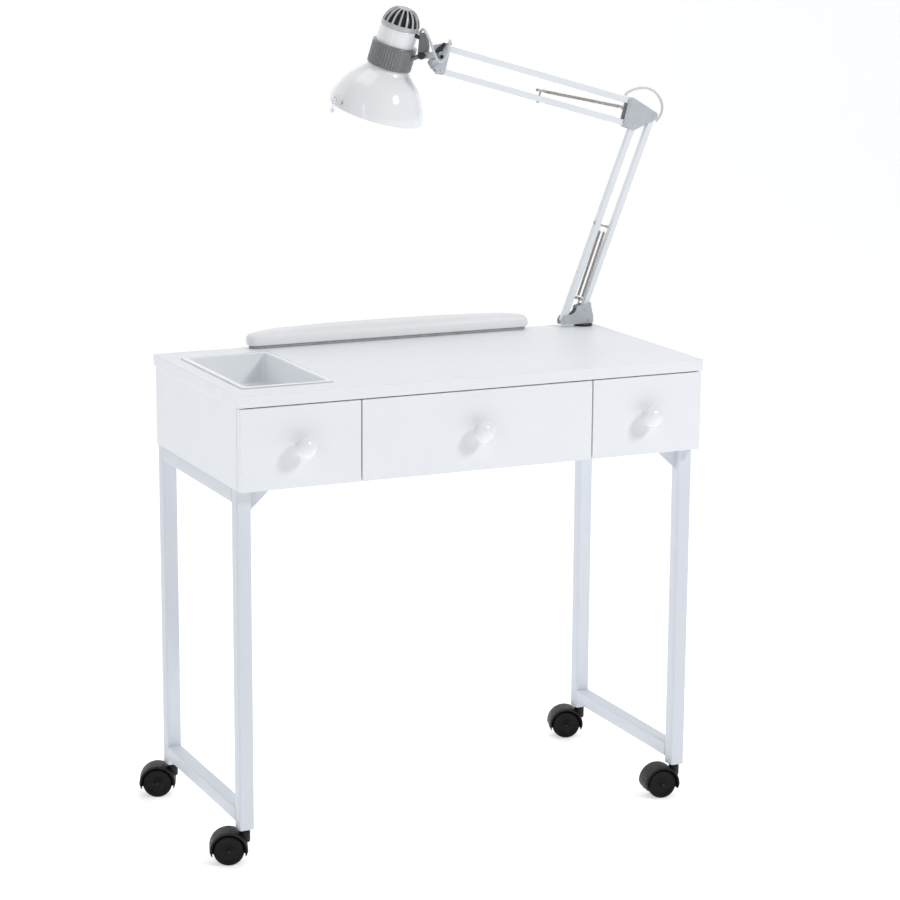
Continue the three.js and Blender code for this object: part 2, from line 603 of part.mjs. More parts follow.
function lamp() {
  const all = groupAt('lamp', 0, LAMP_Y, TOP.height, lampFoot());
  const base = pivot('lamp_swivel', all, [SWIVEL_X, 0]);
  hang(base, lampBase());
  const lean = 90 - LOWER.lean;
  const rightBar = pivot('lower_arm_tilt', base, PIVOT_B);
  rightBar.add(bar('lower_bar_right', LOWER.length, lean));
  const leftBar = pivot('lower_bar_follow', base, PIVOT_A);
  const lowerPost = 186;
  leftBar.add(bar('lower_bar_left', LOWER.length, lean, springPost(lowerPost, -1)));
  const lowerPin = shifted(shifted(PIVOT_A, lowerRun, lowerPost - 6), [lowerRun[1], -lowerRun[0]], 14.6);
  hang(leftBar, springPair('lower_springs', [388.5, 50], lowerPin, [384.6, 37.4]));

  const elbow = pivot('elbow_follow', rightBar, elbowRight);
  hang(elbow, elbowBracket(), flex('elbow_flex', ELBOW_FLEX, 26));
  const reach = 180 - UPPER.rise;
  const topBar = pivot('upper_arm_tilt', elbow, elbowTop);
  topBar.add(bar('upper_bar_top', UPPER.length, reach));
  const lowBar = pivot('upper_bar_follow', elbow, elbowLow);
  const upperPost = 184;
  lowBar.add(bar('upper_bar_low', UPPER.length, reach, springPost(upperPost, -1)));
  const upperPin = shifted(shifted(elbowLow, upperRun, upperPost - 6), [upperRun[1], -upperRun[0]], 14.6);
  hang(lowBar, springPair('upper_springs', [461, 399.5], upperPin, [470, 396.5]));

  const bracket = pivot('head_bracket_follow', topBar, headTop);
  hang(bracket, headBracket(), flex('head_flex', HEAD_FLEX, 24));
  const nut = pivot('wing_nut_turn', bracket, WING_NUT);
  hang(nut, wingNut());
  const turn = pivot('head_swivel', bracket, [HEAD_SWIVEL_X, 487]);
  turn.rotation.z = radians(HEAD.swivel);
  hang(turn, knuckle());
  const screw = pivot('thumb_screw_turn', turn, TILT_PIVOT);
  hang(screw, thumbScrew());
  const tilt = pivot('head_tilt', turn, TILT_PIVOT);
  hang(tilt, collarCasting());
  const head = groupAt('head_axis', SHADE.x - TILT_PIVOT[0], 0, SHADE.z - TILT_PIVOT[1], ...headPieces());
  head.rotation.y = radians(SHADE.tilt);
  tilt.add(head);
  return all;
}

// ---------------------------------------------------------------- the table

const table = new THREE.Group();
table.add(tabletop(), ...carcass(), tray(), armrest(), ...drawers(), ...frames());
table.add(...corners.map(([word, side, y]) => castor(word, side, y)));
table.add(lamp());

const solidBox = new THREE.Box3();
table.updateMatrixWorld(true);
table.traverse((item) => {
  if (item.isMesh && !item.name.endsWith('flex')) solidBox.expandByObject(item, true);
});
const middle = solidBox.getCenter(new THREE.Vector3());
table.position.set(-middle.x, -middle.y, -solidBox.min.z);

export default table;
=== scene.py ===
"""Looks of the manicure table: white laminate, painted tube, a padded vinyl cushion, castors and a spring-arm lamp.
Shapes are in millimetres in the table's frame: x from the top's middle, y from its front edge, z from the floor.
The lamp's own frame has its arm in the plane y = LAMP_Y, with heights counted from the table top."""

import math

import bmesh
import bpy
import numpy as np
from mathutils import Matrix, Quaternion, Vector


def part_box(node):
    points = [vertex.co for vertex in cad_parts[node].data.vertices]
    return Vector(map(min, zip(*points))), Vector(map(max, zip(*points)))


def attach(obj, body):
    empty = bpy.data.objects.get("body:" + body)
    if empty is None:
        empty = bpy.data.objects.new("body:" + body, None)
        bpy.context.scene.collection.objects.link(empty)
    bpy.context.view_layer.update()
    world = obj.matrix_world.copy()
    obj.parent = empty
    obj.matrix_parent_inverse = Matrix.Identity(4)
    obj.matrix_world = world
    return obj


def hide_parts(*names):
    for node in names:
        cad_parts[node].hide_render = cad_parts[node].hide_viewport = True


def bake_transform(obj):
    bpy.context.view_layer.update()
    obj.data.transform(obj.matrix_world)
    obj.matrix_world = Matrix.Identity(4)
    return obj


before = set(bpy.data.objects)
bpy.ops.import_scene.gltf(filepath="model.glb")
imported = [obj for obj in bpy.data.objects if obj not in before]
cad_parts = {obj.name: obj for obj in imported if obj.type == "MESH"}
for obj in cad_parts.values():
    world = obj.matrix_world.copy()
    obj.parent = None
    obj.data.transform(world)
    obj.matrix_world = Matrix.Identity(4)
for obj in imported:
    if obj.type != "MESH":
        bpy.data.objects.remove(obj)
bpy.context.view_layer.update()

MM = 0.001
TOP = 795.0
TOP_WIDTH = 850.0
LAMP_Y = 390.0
low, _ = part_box("tabletop")
ORIGIN = Vector((low[0] + TOP_WIDTH / 2 * MM, low[1], 0.0))


def row(x, y, z):
    """A point of the table's frame, in metres in the row frame."""
    return ORIGIN + Vector((x, y, z)) * MM


# ---------------------------------------------------------------- camera

CAMERA_EYE = (-1848.1, -3838.2, 1599.8)
CAMERA_YAW, CAMERA_PITCH, CAMERA_ROLL = -25.05, 12.29, 0.36
FOCAL_PIXELS = 2629.5
FRAME_PIXELS = 900.0
SENSOR = 36.0

camera_data = bpy.data.cameras.new("camera")
camera = bpy.data.objects.new("camera", camera_data)
bpy.context.collection.objects.link(camera)
bpy.context.scene.camera = camera
yaw, pitch = math.radians(CAMERA_YAW), math.radians(CAMERA_PITCH)
ahead = Vector((-math.sin(yaw) * math.cos(pitch), math.cos(yaw) * math.cos(pitch), -math.sin(pitch)))
camera.rotation_mode = "QUATERNION"
roll = Quaternion(ahead, math.radians(-CAMERA_ROLL))
camera.rotation_quaternion = roll @ ahead.to_track_quat("-Z", "Y")
camera.location = row(*CAMERA_EYE)
camera_data.sensor_width = SENSOR
camera_data.lens = FOCAL_PIXELS * SENSOR / FRAME_PIXELS

# ---------------------------------------------------------------- materials


class Finish:
    """A node-built finish. Colour, roughness and bump each vary over the surface in the row frame's metres."""

    def __init__(self, name, **sockets):
        self.material = bpy.data.materials.new(name)
        self.material.use_nodes = True
        self.nodes = self.material.node_tree.nodes
        self.links = self.material.node_tree.links
        self.shader = self.nodes["Principled BSDF"]
        for socket, value in sockets.items():
            self.shader.inputs[socket.replace("_", " ")].default_value = value
        self.place = self.nodes.new("ShaderNodeTexCoord").outputs["Object"]
        self.last_normal = None

    def noise(self, scale, detail=3.0):
        node = self.nodes.new("ShaderNodeTexNoise")
        node.inputs["Scale"].default_value = scale
        node.inputs["Detail"].default_value = detail
        self.links.new(self.place, node.inputs["Vector"])
        return node.outputs["Fac"]

    def cells(self, scale):
        """The distance to the edges between small cells, as on grained vinyl."""
        node = self.nodes.new("ShaderNodeTexVoronoi")
        node.feature = "DISTANCE_TO_EDGE"
        node.inputs["Scale"].default_value = scale
        self.links.new(self.place, node.inputs["Vector"])
        return node.outputs["Distance"]

    def ramp(self, source, stops):
        node = self.nodes.new("ShaderNodeValToRGB")
        elements = node.color_ramp.elements
        while len(elements) < len(stops):
            elements.new(0.5)
        for element, (place, color) in zip(elements, stops):
            element.position = place
            element.color = (*color, 1.0)
        self.links.new(source, node.inputs["Fac"])
        return node.outputs["Color"]

    def between(self, source, low_value, high_value):
        node = self.nodes.new("ShaderNodeMapRange")
        node.inputs["From Min"].default_value = 0.3
        node.inputs["From Max"].default_value = 0.7
        node.inputs["To Min"].default_value = low_value
        node.inputs["To Max"].default_value = high_value
        self.links.new(source, node.inputs["Value"])
        return node.outputs["Result"]

    def color(self, source, stops):
        self.links.new(self.ramp(source, stops), self.shader.inputs["Base Color"])
        return self

    def rough(self, source, low_value, high_value):
        self.links.new(self.between(source, low_value, high_value), self.shader.inputs["Roughness"])
        return self

    def bump(self, source, height, strength=1.0):
        node = self.nodes.new("ShaderNodeBump")
        node.inputs["Distance"].default_value = height
        node.inputs["Strength"].default_value = strength
        self.links.new(source, node.inputs["Height"])
        if self.last_normal is not None:
            self.links.new(self.last_normal, node.inputs["Normal"])
        self.last_normal = node.outputs["Normal"]
        self.links.new(self.last_normal, self.shader.inputs["Normal"])
        return self


def tinted(color, shift):
    """Three stops from a little darker to a little lighter than a colour."""
    return [
        (0.25, tuple(max(0.0, c * (1 - shift)) for c in color)),
        (0.5, color),
        (0.75, tuple(min(1.0, c * (1 + shift * 0.6)) for c in color)),
    ]


def laminate():
    made = Finish("white laminate", IOR=1.5)
    made.color(made.noise(9.0), tinted((0.83, 0.845, 0.865), 0.018))
    made.rough(made.noise(55.0, 4), 0.34, 0.46)
    return made.bump(made.noise(240.0, 3), 0.00008, 0.1).material


def powder_coat():
    made = Finish("white powder coat", IOR=1.5)
    made.color(made.noise(14.0), tinted((0.67, 0.7, 0.75), 0.02))
    made.rough(made.noise(14.0, 2), 0.36, 0.43)
    return made.bump(made.noise(60.0, 2), 0.0001, 0.05).material


def gloss_white(name, color, smoothness=0.16, ripple=0.12):
    made = Finish(name, IOR=1.5, Coat_Weight=0.35, Coat_Roughness=0.06)
    made.color(made.noise(22.0), tinted(color, 0.012))
    made.rough(made.noise(16.0, 2), smoothness, smoothness + 0.06)
    return made.bump(made.noise(45.0, 2), 0.00012, ripple * 0.5).material


def vinyl():
    made = Finish("white vinyl", IOR=1.5, Sheen_Weight=0.08)
    made.color(made.noise(16.0, 4), tinted((0.85, 0.855, 0.865), 0.025))
    made.rough(made.noise(300.0, 3), 0.36, 0.5)
    grain = made.cells(780.0)
    return made.bump(grain, 0.00016, 0.5).bump(made.noise(60.0, 3), 0.0006, 0.18).material


def dark_plastic(name, color, low_rough=0.34, high_rough=0.5, shine=0.5):
    made = Finish(name, IOR=1.48, Specular_IOR_Level=shine)
    made.color(made.noise(70.0, 4), tinted(color, 0.22))
    made.rough(made.noise(200.0, 3), low_rough, high_rough)
    return made.bump(made.noise(420.0, 2), 0.0001, 0.2).material


def casting(name, color, metal):
    made = Finish(name, Metallic=metal, IOR=1.5)
    made.color(made.noise(60.0, 5), tinted(color, 0.08))
    made.rough(made.noise(160.0, 4), 0.36, 0.54)
    return made.bump(made.noise(380.0, 3), 0.00012, 0.25).material


def gloss_grey(name, color):
    made = Finish(name, IOR=1.5, Coat_Weight=0.5, Coat_Roughness=0.08)
    made.color(made.noise(60.0, 4), tinted(color, 0.06))
    made.rough(made.noise(160.0, 3), 0.2, 0.32)
    return made.bump(made.noise(300.0, 2), 0.00008, 0.15).material


def spring_wire():
    made = Finish("spring wire", Metallic=0.85, Roughness=0.4)
    made.color(made.noise(260.0, 4), tinted((0.5, 0.47, 0.44), 0.25))
    made.rough(made.noise(500.0, 3), 0.3, 0.5)
    return made.bump(made.noise(600.0, 2), 0.00004, 0.15).material


def bulb_glass():
    made = Finish("opal bulb glass", IOR=1.5, Subsurface_Weight=0.3, Coat_Weight=0.5)
    made.color(made.noise(40.0), tinted((0.9, 0.885, 0.85), 0.02))
    return made.rough(made.noise(90.0), 0.12, 0.2).material


def clear_plastic():
    made = Finish("clear plastic", IOR=1.49, Transmission_Weight=0.92)
    made.color(made.noise(80.0), tinted((0.93, 0.945, 0.95), 0.015))
    return made.rough(made.noise(200.0), 0.04, 0.1).bump(made.noise(300.0), 0.00008, 0.2).material


def cord_sheath():
    made = Finish("light grey cord", IOR=1.48)
    made.color(made.noise(120.0, 4), tinted((0.62, 0.63, 0.64), 0.05))
    made.rough(made.noise(260.0, 3), 0.36, 0.5)
    return made.bump(made.noise(400.0, 2), 0.00006, 0.15).material


LAMINATE = laminate()
COAT = powder_coat()
TRAY_WHITE = gloss_white("white tray plastic", (0.84, 0.86, 0.885), 0.2)
KNOB_WHITE = gloss_white("white knob plastic", (0.86, 0.865, 0.875), 0.26, 0.05)
LAMP_WHITE = gloss_white("white lamp paint", (0.8, 0.825, 0.86), 0.2)
ENAMEL = gloss_white("white shade enamel", (0.86, 0.87, 0.885), 0.1, 0.05)
VINYL = vinyl()
CASTOR = dark_plastic("castor nylon", (0.011, 0.008, 0.0075), 0.4, 0.55, 0.3)
WHEEL = dark_plastic("castor wheel", (0.0065, 0.005, 0.0048), 0.5, 0.65, 0.2)
BLACK = dark_plastic("black plastic", (0.014, 0.014, 0.015))
BOARD = dark_plastic("grey backing board", (0.38, 0.38, 0.39), 0.6, 0.8)
CAST = casting("silver-grey casting", (0.5, 0.53, 0.56), 0.2)
COLLAR = gloss_grey("ribbed grey collar", (0.17, 0.175, 0.18))
VENT = casting("grey vent cap", (0.52, 0.53, 0.545), 0.3)
SPRING = spring_wire()
BULB = bulb_glass()
CLEAR = clear_plastic()
CORD = cord_sheath()

# ---------------------------------------------------------------- shapes, each (vertices, faces) in millimetres


def around(steps):
    """Evenly spread angles of one full turn."""
    return [2 * math.pi * i / steps for i in range(steps)]


def polar(radius, turn):
    return radius * math.cos(turn), radius * math.sin(turn)


def joined(*shapes):
    vertices, faces = [], []
    for some_vertices, some_faces in shapes:
        start = len(vertices)
        vertices += list(some_vertices)
        faces += [tuple(start + i for i in face) for face in some_faces]
    return vertices, faces


def moved(shape, matrix):
    return [matrix @ Vector(v) for v in shape[0]], shape[1]


def shifted(shape, x=0.0, y=0.0, z=0.0):
    return moved(shape, Matrix.Translation((x, y, z)))


def loft(rings, closed=False):
    """Rings of equally many points joined in turn. closed joins the last to the first, or else both are capped."""
    count = len(rings[0])
    vertices = [v for ring in rings for v in ring]
    faces = []
    for i in range(len(rings) if closed else len(rings) - 1):
        a, b = i * count, (i + 1) % len(rings) * count
        for j in range(count):
            k = (j + 1) % count
            faces.append((a + j, a + k, b + k, b + j))
    if not closed:
        faces.append(tuple(reversed(range(count))))
        faces.append(tuple(range(len(vertices) - count, len(vertices))))
    return vertices, faces


def lathe(profile, steps=72):
    """A profile of (radius, height) turned about Z. It ends on the axis, or closes on its first point."""
    closed = profile[0] == profile[-1]
    points = profile[:-1] if closed else profile
    vertices, rings, faces = [], [], []
    for radius, z in points:
        if radius < 1e-6:
            rings.append([len(vertices)] * steps)
            vertices.append((0.0, 0.0, z))
            continue
        rings.append(list(range(len(vertices), len(vertices) + steps)))
        vertices += [(*polar(radius, turn), z) for turn in around(steps)]
    for i in range(len(rings) if closed else len(rings) - 1):
        a, b = rings[i], rings[(i + 1) % len(rings)]
        for j in range(steps):
            k = (j + 1) % steps
            face = list(dict.fromkeys((a[j], a[k], b[k], b[j])))
            if len(face) > 2:
                faces.append(tuple(face))
    return vertices, faces


def rounded(points, radius, steps=5):
    """A closed flat outline with each corner replaced by an arc."""
    out = []
    count = len(points)
    for i, p in enumerate(points):
        p = Vector(p)
        a, b = Vector(points[i - 1]) - p, Vector(points[(i + 1) % count]) - p
        reach = min(radius, a.length * 0.45, b.length * 0.45)
        start, end = p + a.normalized() * reach, p + b.normalized() * reach
        for j in range(steps + 1):
            t = j / steps
            out.append(tuple(start * (1 - t) ** 2 + p * (2 * t * (1 - t)) + end * t**2))
    return out


def prism(outline, y0, y1):
    """An outline of (x, z) pulled from y0 to y1."""
    return loft([[(x, y, z) for x, z in outline] for y in (y0, y1)])


def hull(discs, steps=48):
    """The outline round several discs (x, z, radius)."""
    points = []
    for x, z, r in discs:
        points += [(x + r * math.cos(turn), z + r * math.sin(turn)) for turn in around(steps)]
    points = sorted(set(points))

    def half(order):
        chain = []
        for p in order:
            while len(chain) > 1:
                (ax, az), (bx, bz) = chain[-2], chain[-1]
                if (bx - ax) * (p[1] - az) - (bz - az) * (p[0] - ax) > 1e-9:
                    break
                chain.pop()
            chain.append(p)
        return chain[:-1]

    return half(points) + half(reversed(points))


def box(x, y, z):
    return prism([(x[0], z[0]), (x[1], z[0]), (x[1], z[1]), (x[0], z[1])], *y)


def cylinder(radius, z0, z1, steps=32, edge=0.4):
    """A turned pin with softened ends."""
    e = min(edge, radius * 0.4, (z1 - z0) * 0.3)
    return lathe([(0, z0), (radius - e, z0), (radius, z0 + e), (radius, z1 - e), (radius - e, z1), (0, z1)], steps)


def along_y(shape, x, z, y=0.0):
    """A shape turned about Z, laid along -Y from (x, y, z)."""
    return moved(shape, Matrix.Translation((x, y, z)) @ Matrix.Rotation(math.pi / 2, 4, "X"))


def curve(points, steps):
    """Points of a smooth curve through points, evenly spread."""
    p = [Vector(q) for q in points]
    p = [p[0] * 2 - p[1], *p, p[-1] * 2 - p[-2]]
    dense = []
    for i in range(1, len(p) - 2):
        a, b, c, d = p[i - 1 : i + 3]
        for j in range(24):
            t = j / 24
            square, cube = 2 * a - 5 * b + 4 * c - d, 3 * b - a - 3 * c + d
            dense.append(0.5 * (2 * b + (c - a) * t + square * t**2 + cube * t**3))
    dense.append(p[-2])
    run = [0.0]
    for a, b in zip(dense, dense[1:]):
        run.append(run[-1] + (b - a).length)
    out = []
    for target in np.linspace(0, run[-1], steps + 1):
        i = min(int(np.searchsorted(run, target, side="right")) - 1, len(dense) - 2)
        share = (target - run[i]) / max(run[i + 1] - run[i], 1e-9)
        out.append(dense[i].lerp(dense[i + 1], share))
    return out


def sweep(points, radius, sides=12):
    """A round section carried along points. radius is a number or one for each point."""
    radii = radius if hasattr(radius, "__len__") else [radius] * len(points)
    points = [Vector(p) for p in points]
    rings = []
    normal = None
    for i, p in enumerate(points):
        ahead_of = (points[min(i + 1, len(points) - 1)] - points[max(i - 1, 0)]).normalized()
        if normal is None:
            normal = ahead_of.orthogonal().normalized()
        normal = (normal - ahead_of * normal.dot(ahead_of)).normalized()
        side = ahead_of.cross(normal)
        rings.append([p + (normal * math.cos(t) + side * math.sin(t)) * radii[i] for t in around(sides)])
    return loft(rings)


def square_tube(size, wall, corner, z0, z1):
    """Square tube along Z with round corners, open at both ends."""
    half = size / 2
    outer = rounded([(-half, -half), (half, -half), (half, half), (-half, half)], corner, 5)
    share = (half - wall) / half
    inner = [(x * share, y * share) for x, y in outer]
    edge = 0.35
    soft = [(x * (1 - edge / half), y * (1 - edge / half)) for x, y in outer]
    rings = [(outer, z0 + edge), (outer, z1 - edge), (soft, z1), (inner, z1), (inner, z0), (soft, z0)]
    return loft([[(x, y, z) for x, y in ring] for ring, z in rings], closed=True)


def piece(name, shape, material, body, replaces=(), bevel=0.0, segments=3, sharp=38.0):
    """One visible piece, from a shape in the table's frame. A bent piece has no body of its own."""
    mesh = bpy.data.meshes.new(name)
    mesh.from_pydata([ORIGIN + Vector(v) * MM for v in shape[0]], [], shape[1])
    mesh.validate()
    made = bpy.data.objects.new(name, mesh)
    bpy.context.collection.objects.link(made)
    mesh.materials.append(material)
    outwards(mesh)
    mesh.shade_smooth()
    mesh.set_sharp_from_angle(angle=math.radians(sharp))
    if bevel:
        add_bevel(made, bevel * MM, segments, sharp)
    if body:
        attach(made, body)
    if replaces:
        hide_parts(*replaces)
    return made


def outwards(mesh):
    """Turns every face to look out of its body."""
    work = bmesh.new()
    work.from_mesh(mesh)
    bmesh.ops.recalc_face_normals(work, faces=work.faces)
    work.to_mesh(mesh)
    work.free()


def add_bevel(made, width, segments, angle):
    modifier = made.modifiers.new("edges", "BEVEL")
    modifier.width = width
    modifier.segments = segments
    modifier.limit_method = "ANGLE"
    modifier.angle_limit = math.radians(angle)
    modifier.harden_normals = True


def keep_cad(node, material, edge):
    """A CAD node that stays as it is, with a finish and softened edges."""
    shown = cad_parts[node]
    shown.data.materials.clear()
    shown.data.materials.append(material)
    weld = shown.modifiers.new("weld", "WELD")
    weld.merge_threshold = 1e-5
    add_bevel(shown, edge * MM, 2, 30.0)


# ---------------------------------------------------------------- cabinet

for node in ("tabletop", "drawer_left_front", "drawer_middle_front", "drawer_right_front"):
    keep_cad(node, LAMINATE, edge=1.1)
for node in ("cabinet_side_left", "cabinet_side_right", "cabinet_back", "cabinet_bottom", "divider_left",
             "divider_right", "drawer_left_box", "drawer_middle_box", "drawer_right_box"):
    keep_cad(node, LAMINATE, edge=0.6)
keep_cad("armrest_board", BOARD, edge=0.5)

# ---------------------------------------------------------------- knobs

KNOB_X = {"left": -317.1, "middle": 0.0, "right": 317.1}
KNOB_Z = 706.0
FRONT_FACE_Y = 0.7
KNOB_PROFILE = [(0, 0), (9.4, 0), (9.4, 0.8), (8.0, 3.0), (7.6, 5.6), (8.2, 8.6), (10.4, 11.2), (13.6, 13.4),
                (16.4, 15.8), (17.8, 18.6), (17.95, 21.2), (16.8, 24.6), (14.4, 28.0), (10.8, 30.8), (6.0, 32.4),
                (0, 33)]

for word, x in KNOB_X.items():
    knob = along_y(lathe(KNOB_PROFILE, 64), x, KNOB_Z, FRONT_FACE_Y)
    piece(f"knob_{word}", knob, KNOB_WHITE, f"drawer_{word}", [f"drawer_{word}_knob"], sharp=60)

# ---------------------------------------------------------------- tray

TRAY_MIDDLE = (-317.0, 205.0)


def round_rectangle(width, depth, radius, z):
    w, d = width / 2, depth / 2
    ring = rounded([(-w, -d), (w, -d), (w, d), (-w, d)], radius * 1.35, 7)
    return [(TRAY_MIDDLE[0] + x, TRAY_MIDDLE[1] + y, z) for x, y in ring]


def tray_shape():
    """A pressed tray: flange, rolled edge, tapered walls and a filleted floor, with its thickness."""
    top = TOP + 2.4
    inside = [
        (160.6, 298.6, 5.0, top - 0.5), (159.0, 297.0, 5.0, top), (143.6, 281.6, 7.5, top),
        (141.6, 279.6, 8.0, top - 0.8), (140.4, 278.4, 8.5, top - 3.0), (129.0, 256.0, 9.0, top - 44.0),
        (126.5, 252.5, 9.5, top - 49.0), (119.0, 245.0, 9.0, top - 51.6),
    ]
    outside = [
        (119.0, 245.0, 9.0, top - 53.6), (128.5, 254.5, 10.5, top - 51.4), (131.8, 258.8, 11.0, top - 45.0),
        (143.4, 281.4, 9.5, top - 2.2), (161.0, 299.0, 5.0, top - 2.1), (162.0, 300.0, 5.0, top - 1.6),
    ]
    rings = [round_rectangle(*ring) for ring in inside] + [round_rectangle(*ring) for ring in outside]
    vertices, faces = loft(rings, closed=True)
    count = len(rings[0])
    floor, under = (len(inside) - 1) * count, len(inside) * count
    strip = set(range(floor, floor + 2 * count))
    faces = [f for f in faces if not all(i in strip for i in f)]
    faces.append(tuple(range(floor, floor + count)))
    faces.append(tuple(reversed(range(under, under + count))))
    return vertices, faces


piece("tray_tub", tray_shape(), TRAY_WHITE, "table", ["tray"], sharp=50)

# ---------------------------------------------------------------- wrist cushion

CUSHION_X, CUSHION_Y = 14.0, 384.0
CUSHION_HALF = 274.0


def bow(inset):
    """The cushion's outline, drawn in by inset: straight front, round ends, a rear edge that bows outwards."""
    half, corner = CUSHION_HALF - inset, 14.0
    end, crown = 34.0 - inset, 70.0 - inset

    def bezier(*handles, steps=50):
        out = []
        for i in range(steps):
            t = i / steps
            weights = (1 - t) ** 3, 3 * t * (1 - t) ** 2, 3 * t * t * (1 - t), t**3
            out.append(tuple(sum(w * p[k] for w, p in zip(weights, handles)) for k in (0, 1)))
        return out

    def arc(cx, cy, start, stop, steps=10):
        turns = [math.radians(start + (stop - start) * i / steps) for i in range(steps)]
        return [(cx + corner * math.cos(t), cy + corner * math.sin(t)) for t in turns]

    points = [(-half + corner + (2 * half - 2 * corner) * i / 60, inset) for i in range(60)]
    points += arc(half - corner, inset + corner, -90, 0)
    points += bezier((half, end - 8), (half - 6, end + 12), (half * 0.55, crown), (0, crown))
    points += bezier((0, crown), (-half * 0.55, crown), (-half + 6, end + 12), (-half, end - 8))
    points += arc(-half + corner, inset + corner, 180, 270)
    return points


def cushion_shape():
    layers = [(4.0, 4.7), (1.6, 5.2), (0.7, 6.6), (0.5, 10), (0.6, 16), (1.0, 19.5), (2.4, 22.6), (5.2, 24.8),
              (10, 26.1)]
    rings = [[(CUSHION_X + x, CUSHION_Y + y, TOP + z) for x, y in bow(inset)] for inset, z in layers]
    return loft(rings)


VOXEL, SWELL_CAP = 0.004, 0.0035
CLOTH_FRAMES = 20


def stuffed(made):
    """Swells a closed form as cloth round its filling, with no point moving further than the cap, in metres."""
    bpy.context.view_layer.objects.active = made
    remesh = made.modifiers.new("remesh", "REMESH")
    remesh.mode = "VOXEL"
    remesh.voxel_size = VOXEL
    bpy.ops.object.modifier_apply(modifier="remesh")
    rest = np.array([v.co for v in made.data.vertices])
    cloth = made.modifiers.new("cloth", "CLOTH")
    cloth.settings.use_pressure = True
    cloth.settings.uniform_pressure_force = 4.0
    cloth.settings.effector_weights.gravity = 0.0
    cloth.settings.quality = 6
    for number in range(1, CLOTH_FRAMES + 1):
        bpy.context.scene.frame_set(number)
    bpy.ops.object.modifier_apply(modifier="cloth")
    bpy.context.scene.frame_set(1)
    grown = np.array([v.co for v in made.data.vertices])
    growth = grown - rest
    length = np.linalg.norm(growth, axis=1, keepdims=True)
    growth *= np.minimum(1.0, SWELL_CAP / np.maximum(length, 1e-9))
    return rest, rest + growth


def padded_cushion():
    made = piece("wrist_cushion", cushion_shape(), VINYL, None, sharp=180)
    rest, grown = stuffed(made)
    low_z, high_z = rest[:, 2].min(), rest[:, 2].max()
    # The base stays flat on its board, the swelling grows towards the top, and the top rises a little between the ends.
    share = np.clip((rest[:, 2] - low_z) / (high_z - low_z), 0, 1)[:, None]
    shaped = rest + (grown - rest) * (0.15 + 0.85 * np.sin(share * math.pi * 0.5))
    shaped[:, 2] = np.maximum(shaped[:, 2], low_z)
    middle = ORIGIN.x + CUSHION_X * MM
    across = (shaped[:, 0] - middle) / (CUSHION_HALF * MM)
    shaped[:, 2] += 0.0012 * (1 - across**2) * share[:, 0]
    made.data.vertices.foreach_set("co", shaped.astype(np.float32).ravel())
    made.data.update()
    smooth = made.modifiers.new("smooth", "SMOOTH")
    smooth.factor, smooth.iterations = 0.5, 4
    bpy.context.view_layer.objects.active = made
    bpy.ops.object.modifier_apply(modifier="smooth")
    modifier = made.modifiers.new("subdivide", "SUBSURF")
    modifier.levels = modifier.render_levels = 1
    made.data.shade_smooth()
    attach(made, "table")
    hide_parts("armrest_cushion")


padded_cushion()

# ---------------------------------------------------------------- frames

UNDERSIDE = 636.7
LEG_X, LEG_YS = 407.7, {"front": 37.0, "rear": 399.5}
LEG_FOOT, BOTTOM_RAIL_TOP = 59.2, 94.0
TUBE, TUBE_WALL, TUBE_CORNER = 25.0, 1.5, 3.0

for side, word in ((-1, "left"), (1, "right")):
    for end, y in LEG_YS.items():
        leg = shifted(square_tube(TUBE, TUBE_WALL, TUBE_CORNER, LEG_FOOT, UNDERSIDE), side * LEG_X, y)
        plug = cylinder(10.4, 61.0, 84.0, 32)
        parts = [leg, shifted(plug, side * LEG_X, y)]
        if end == "front":
            near, far = side * (LEG_X - 12.0), side * (LEG_X - 52.5)
            corners = [(near, UNDERSIDE), (far, UNDERSIDE), (far, UNDERSIDE - 3), (near, UNDERSIDE - 40)]
            gusset = rounded(corners, 1.6, 3)
            parts.append(prism(gusset, y - 1.5, y + 1.5))
            bead = [(near - side * 0.6, y - 1.9, UNDERSIDE - 38 + 36 * i / 9) for i in range(10)]
            parts.append(sweep(bead, [0.9 + 0.25 * (i % 2) for i in range(10)], 8))
        piece(f"leg_{end}_{word}_tube", joined(*parts), COAT, "table", [f"leg_{end}_{word}"],
              bevel=0.4)
    for level, z in (("bottom", BOTTOM_RAIL_TOP), ("top", UNDERSIDE)):
        tube = square_tube(TUBE, TUBE_WALL, TUBE_CORNER, 0.0, LEG_YS["rear"] - LEG_YS["front"] - 25.2)
        rail = along_y(tube, side * LEG_X, z - TUBE / 2, LEG_YS["rear"] - 12.6)
        piece(f"{level}_rail_{word}_tube", rail, COAT, "table", [f"{level}_rail_{word}"])

# ---------------------------------------------------------------- castors

TRAIL, AXLE_Z = -27.0, 26.0
CASTOR_TURN = {"front_left": -19.0, "front_right": -9.0, "rear_left": -21.0, "rear_right": -19.0}
HOOD_HALF = 20.5


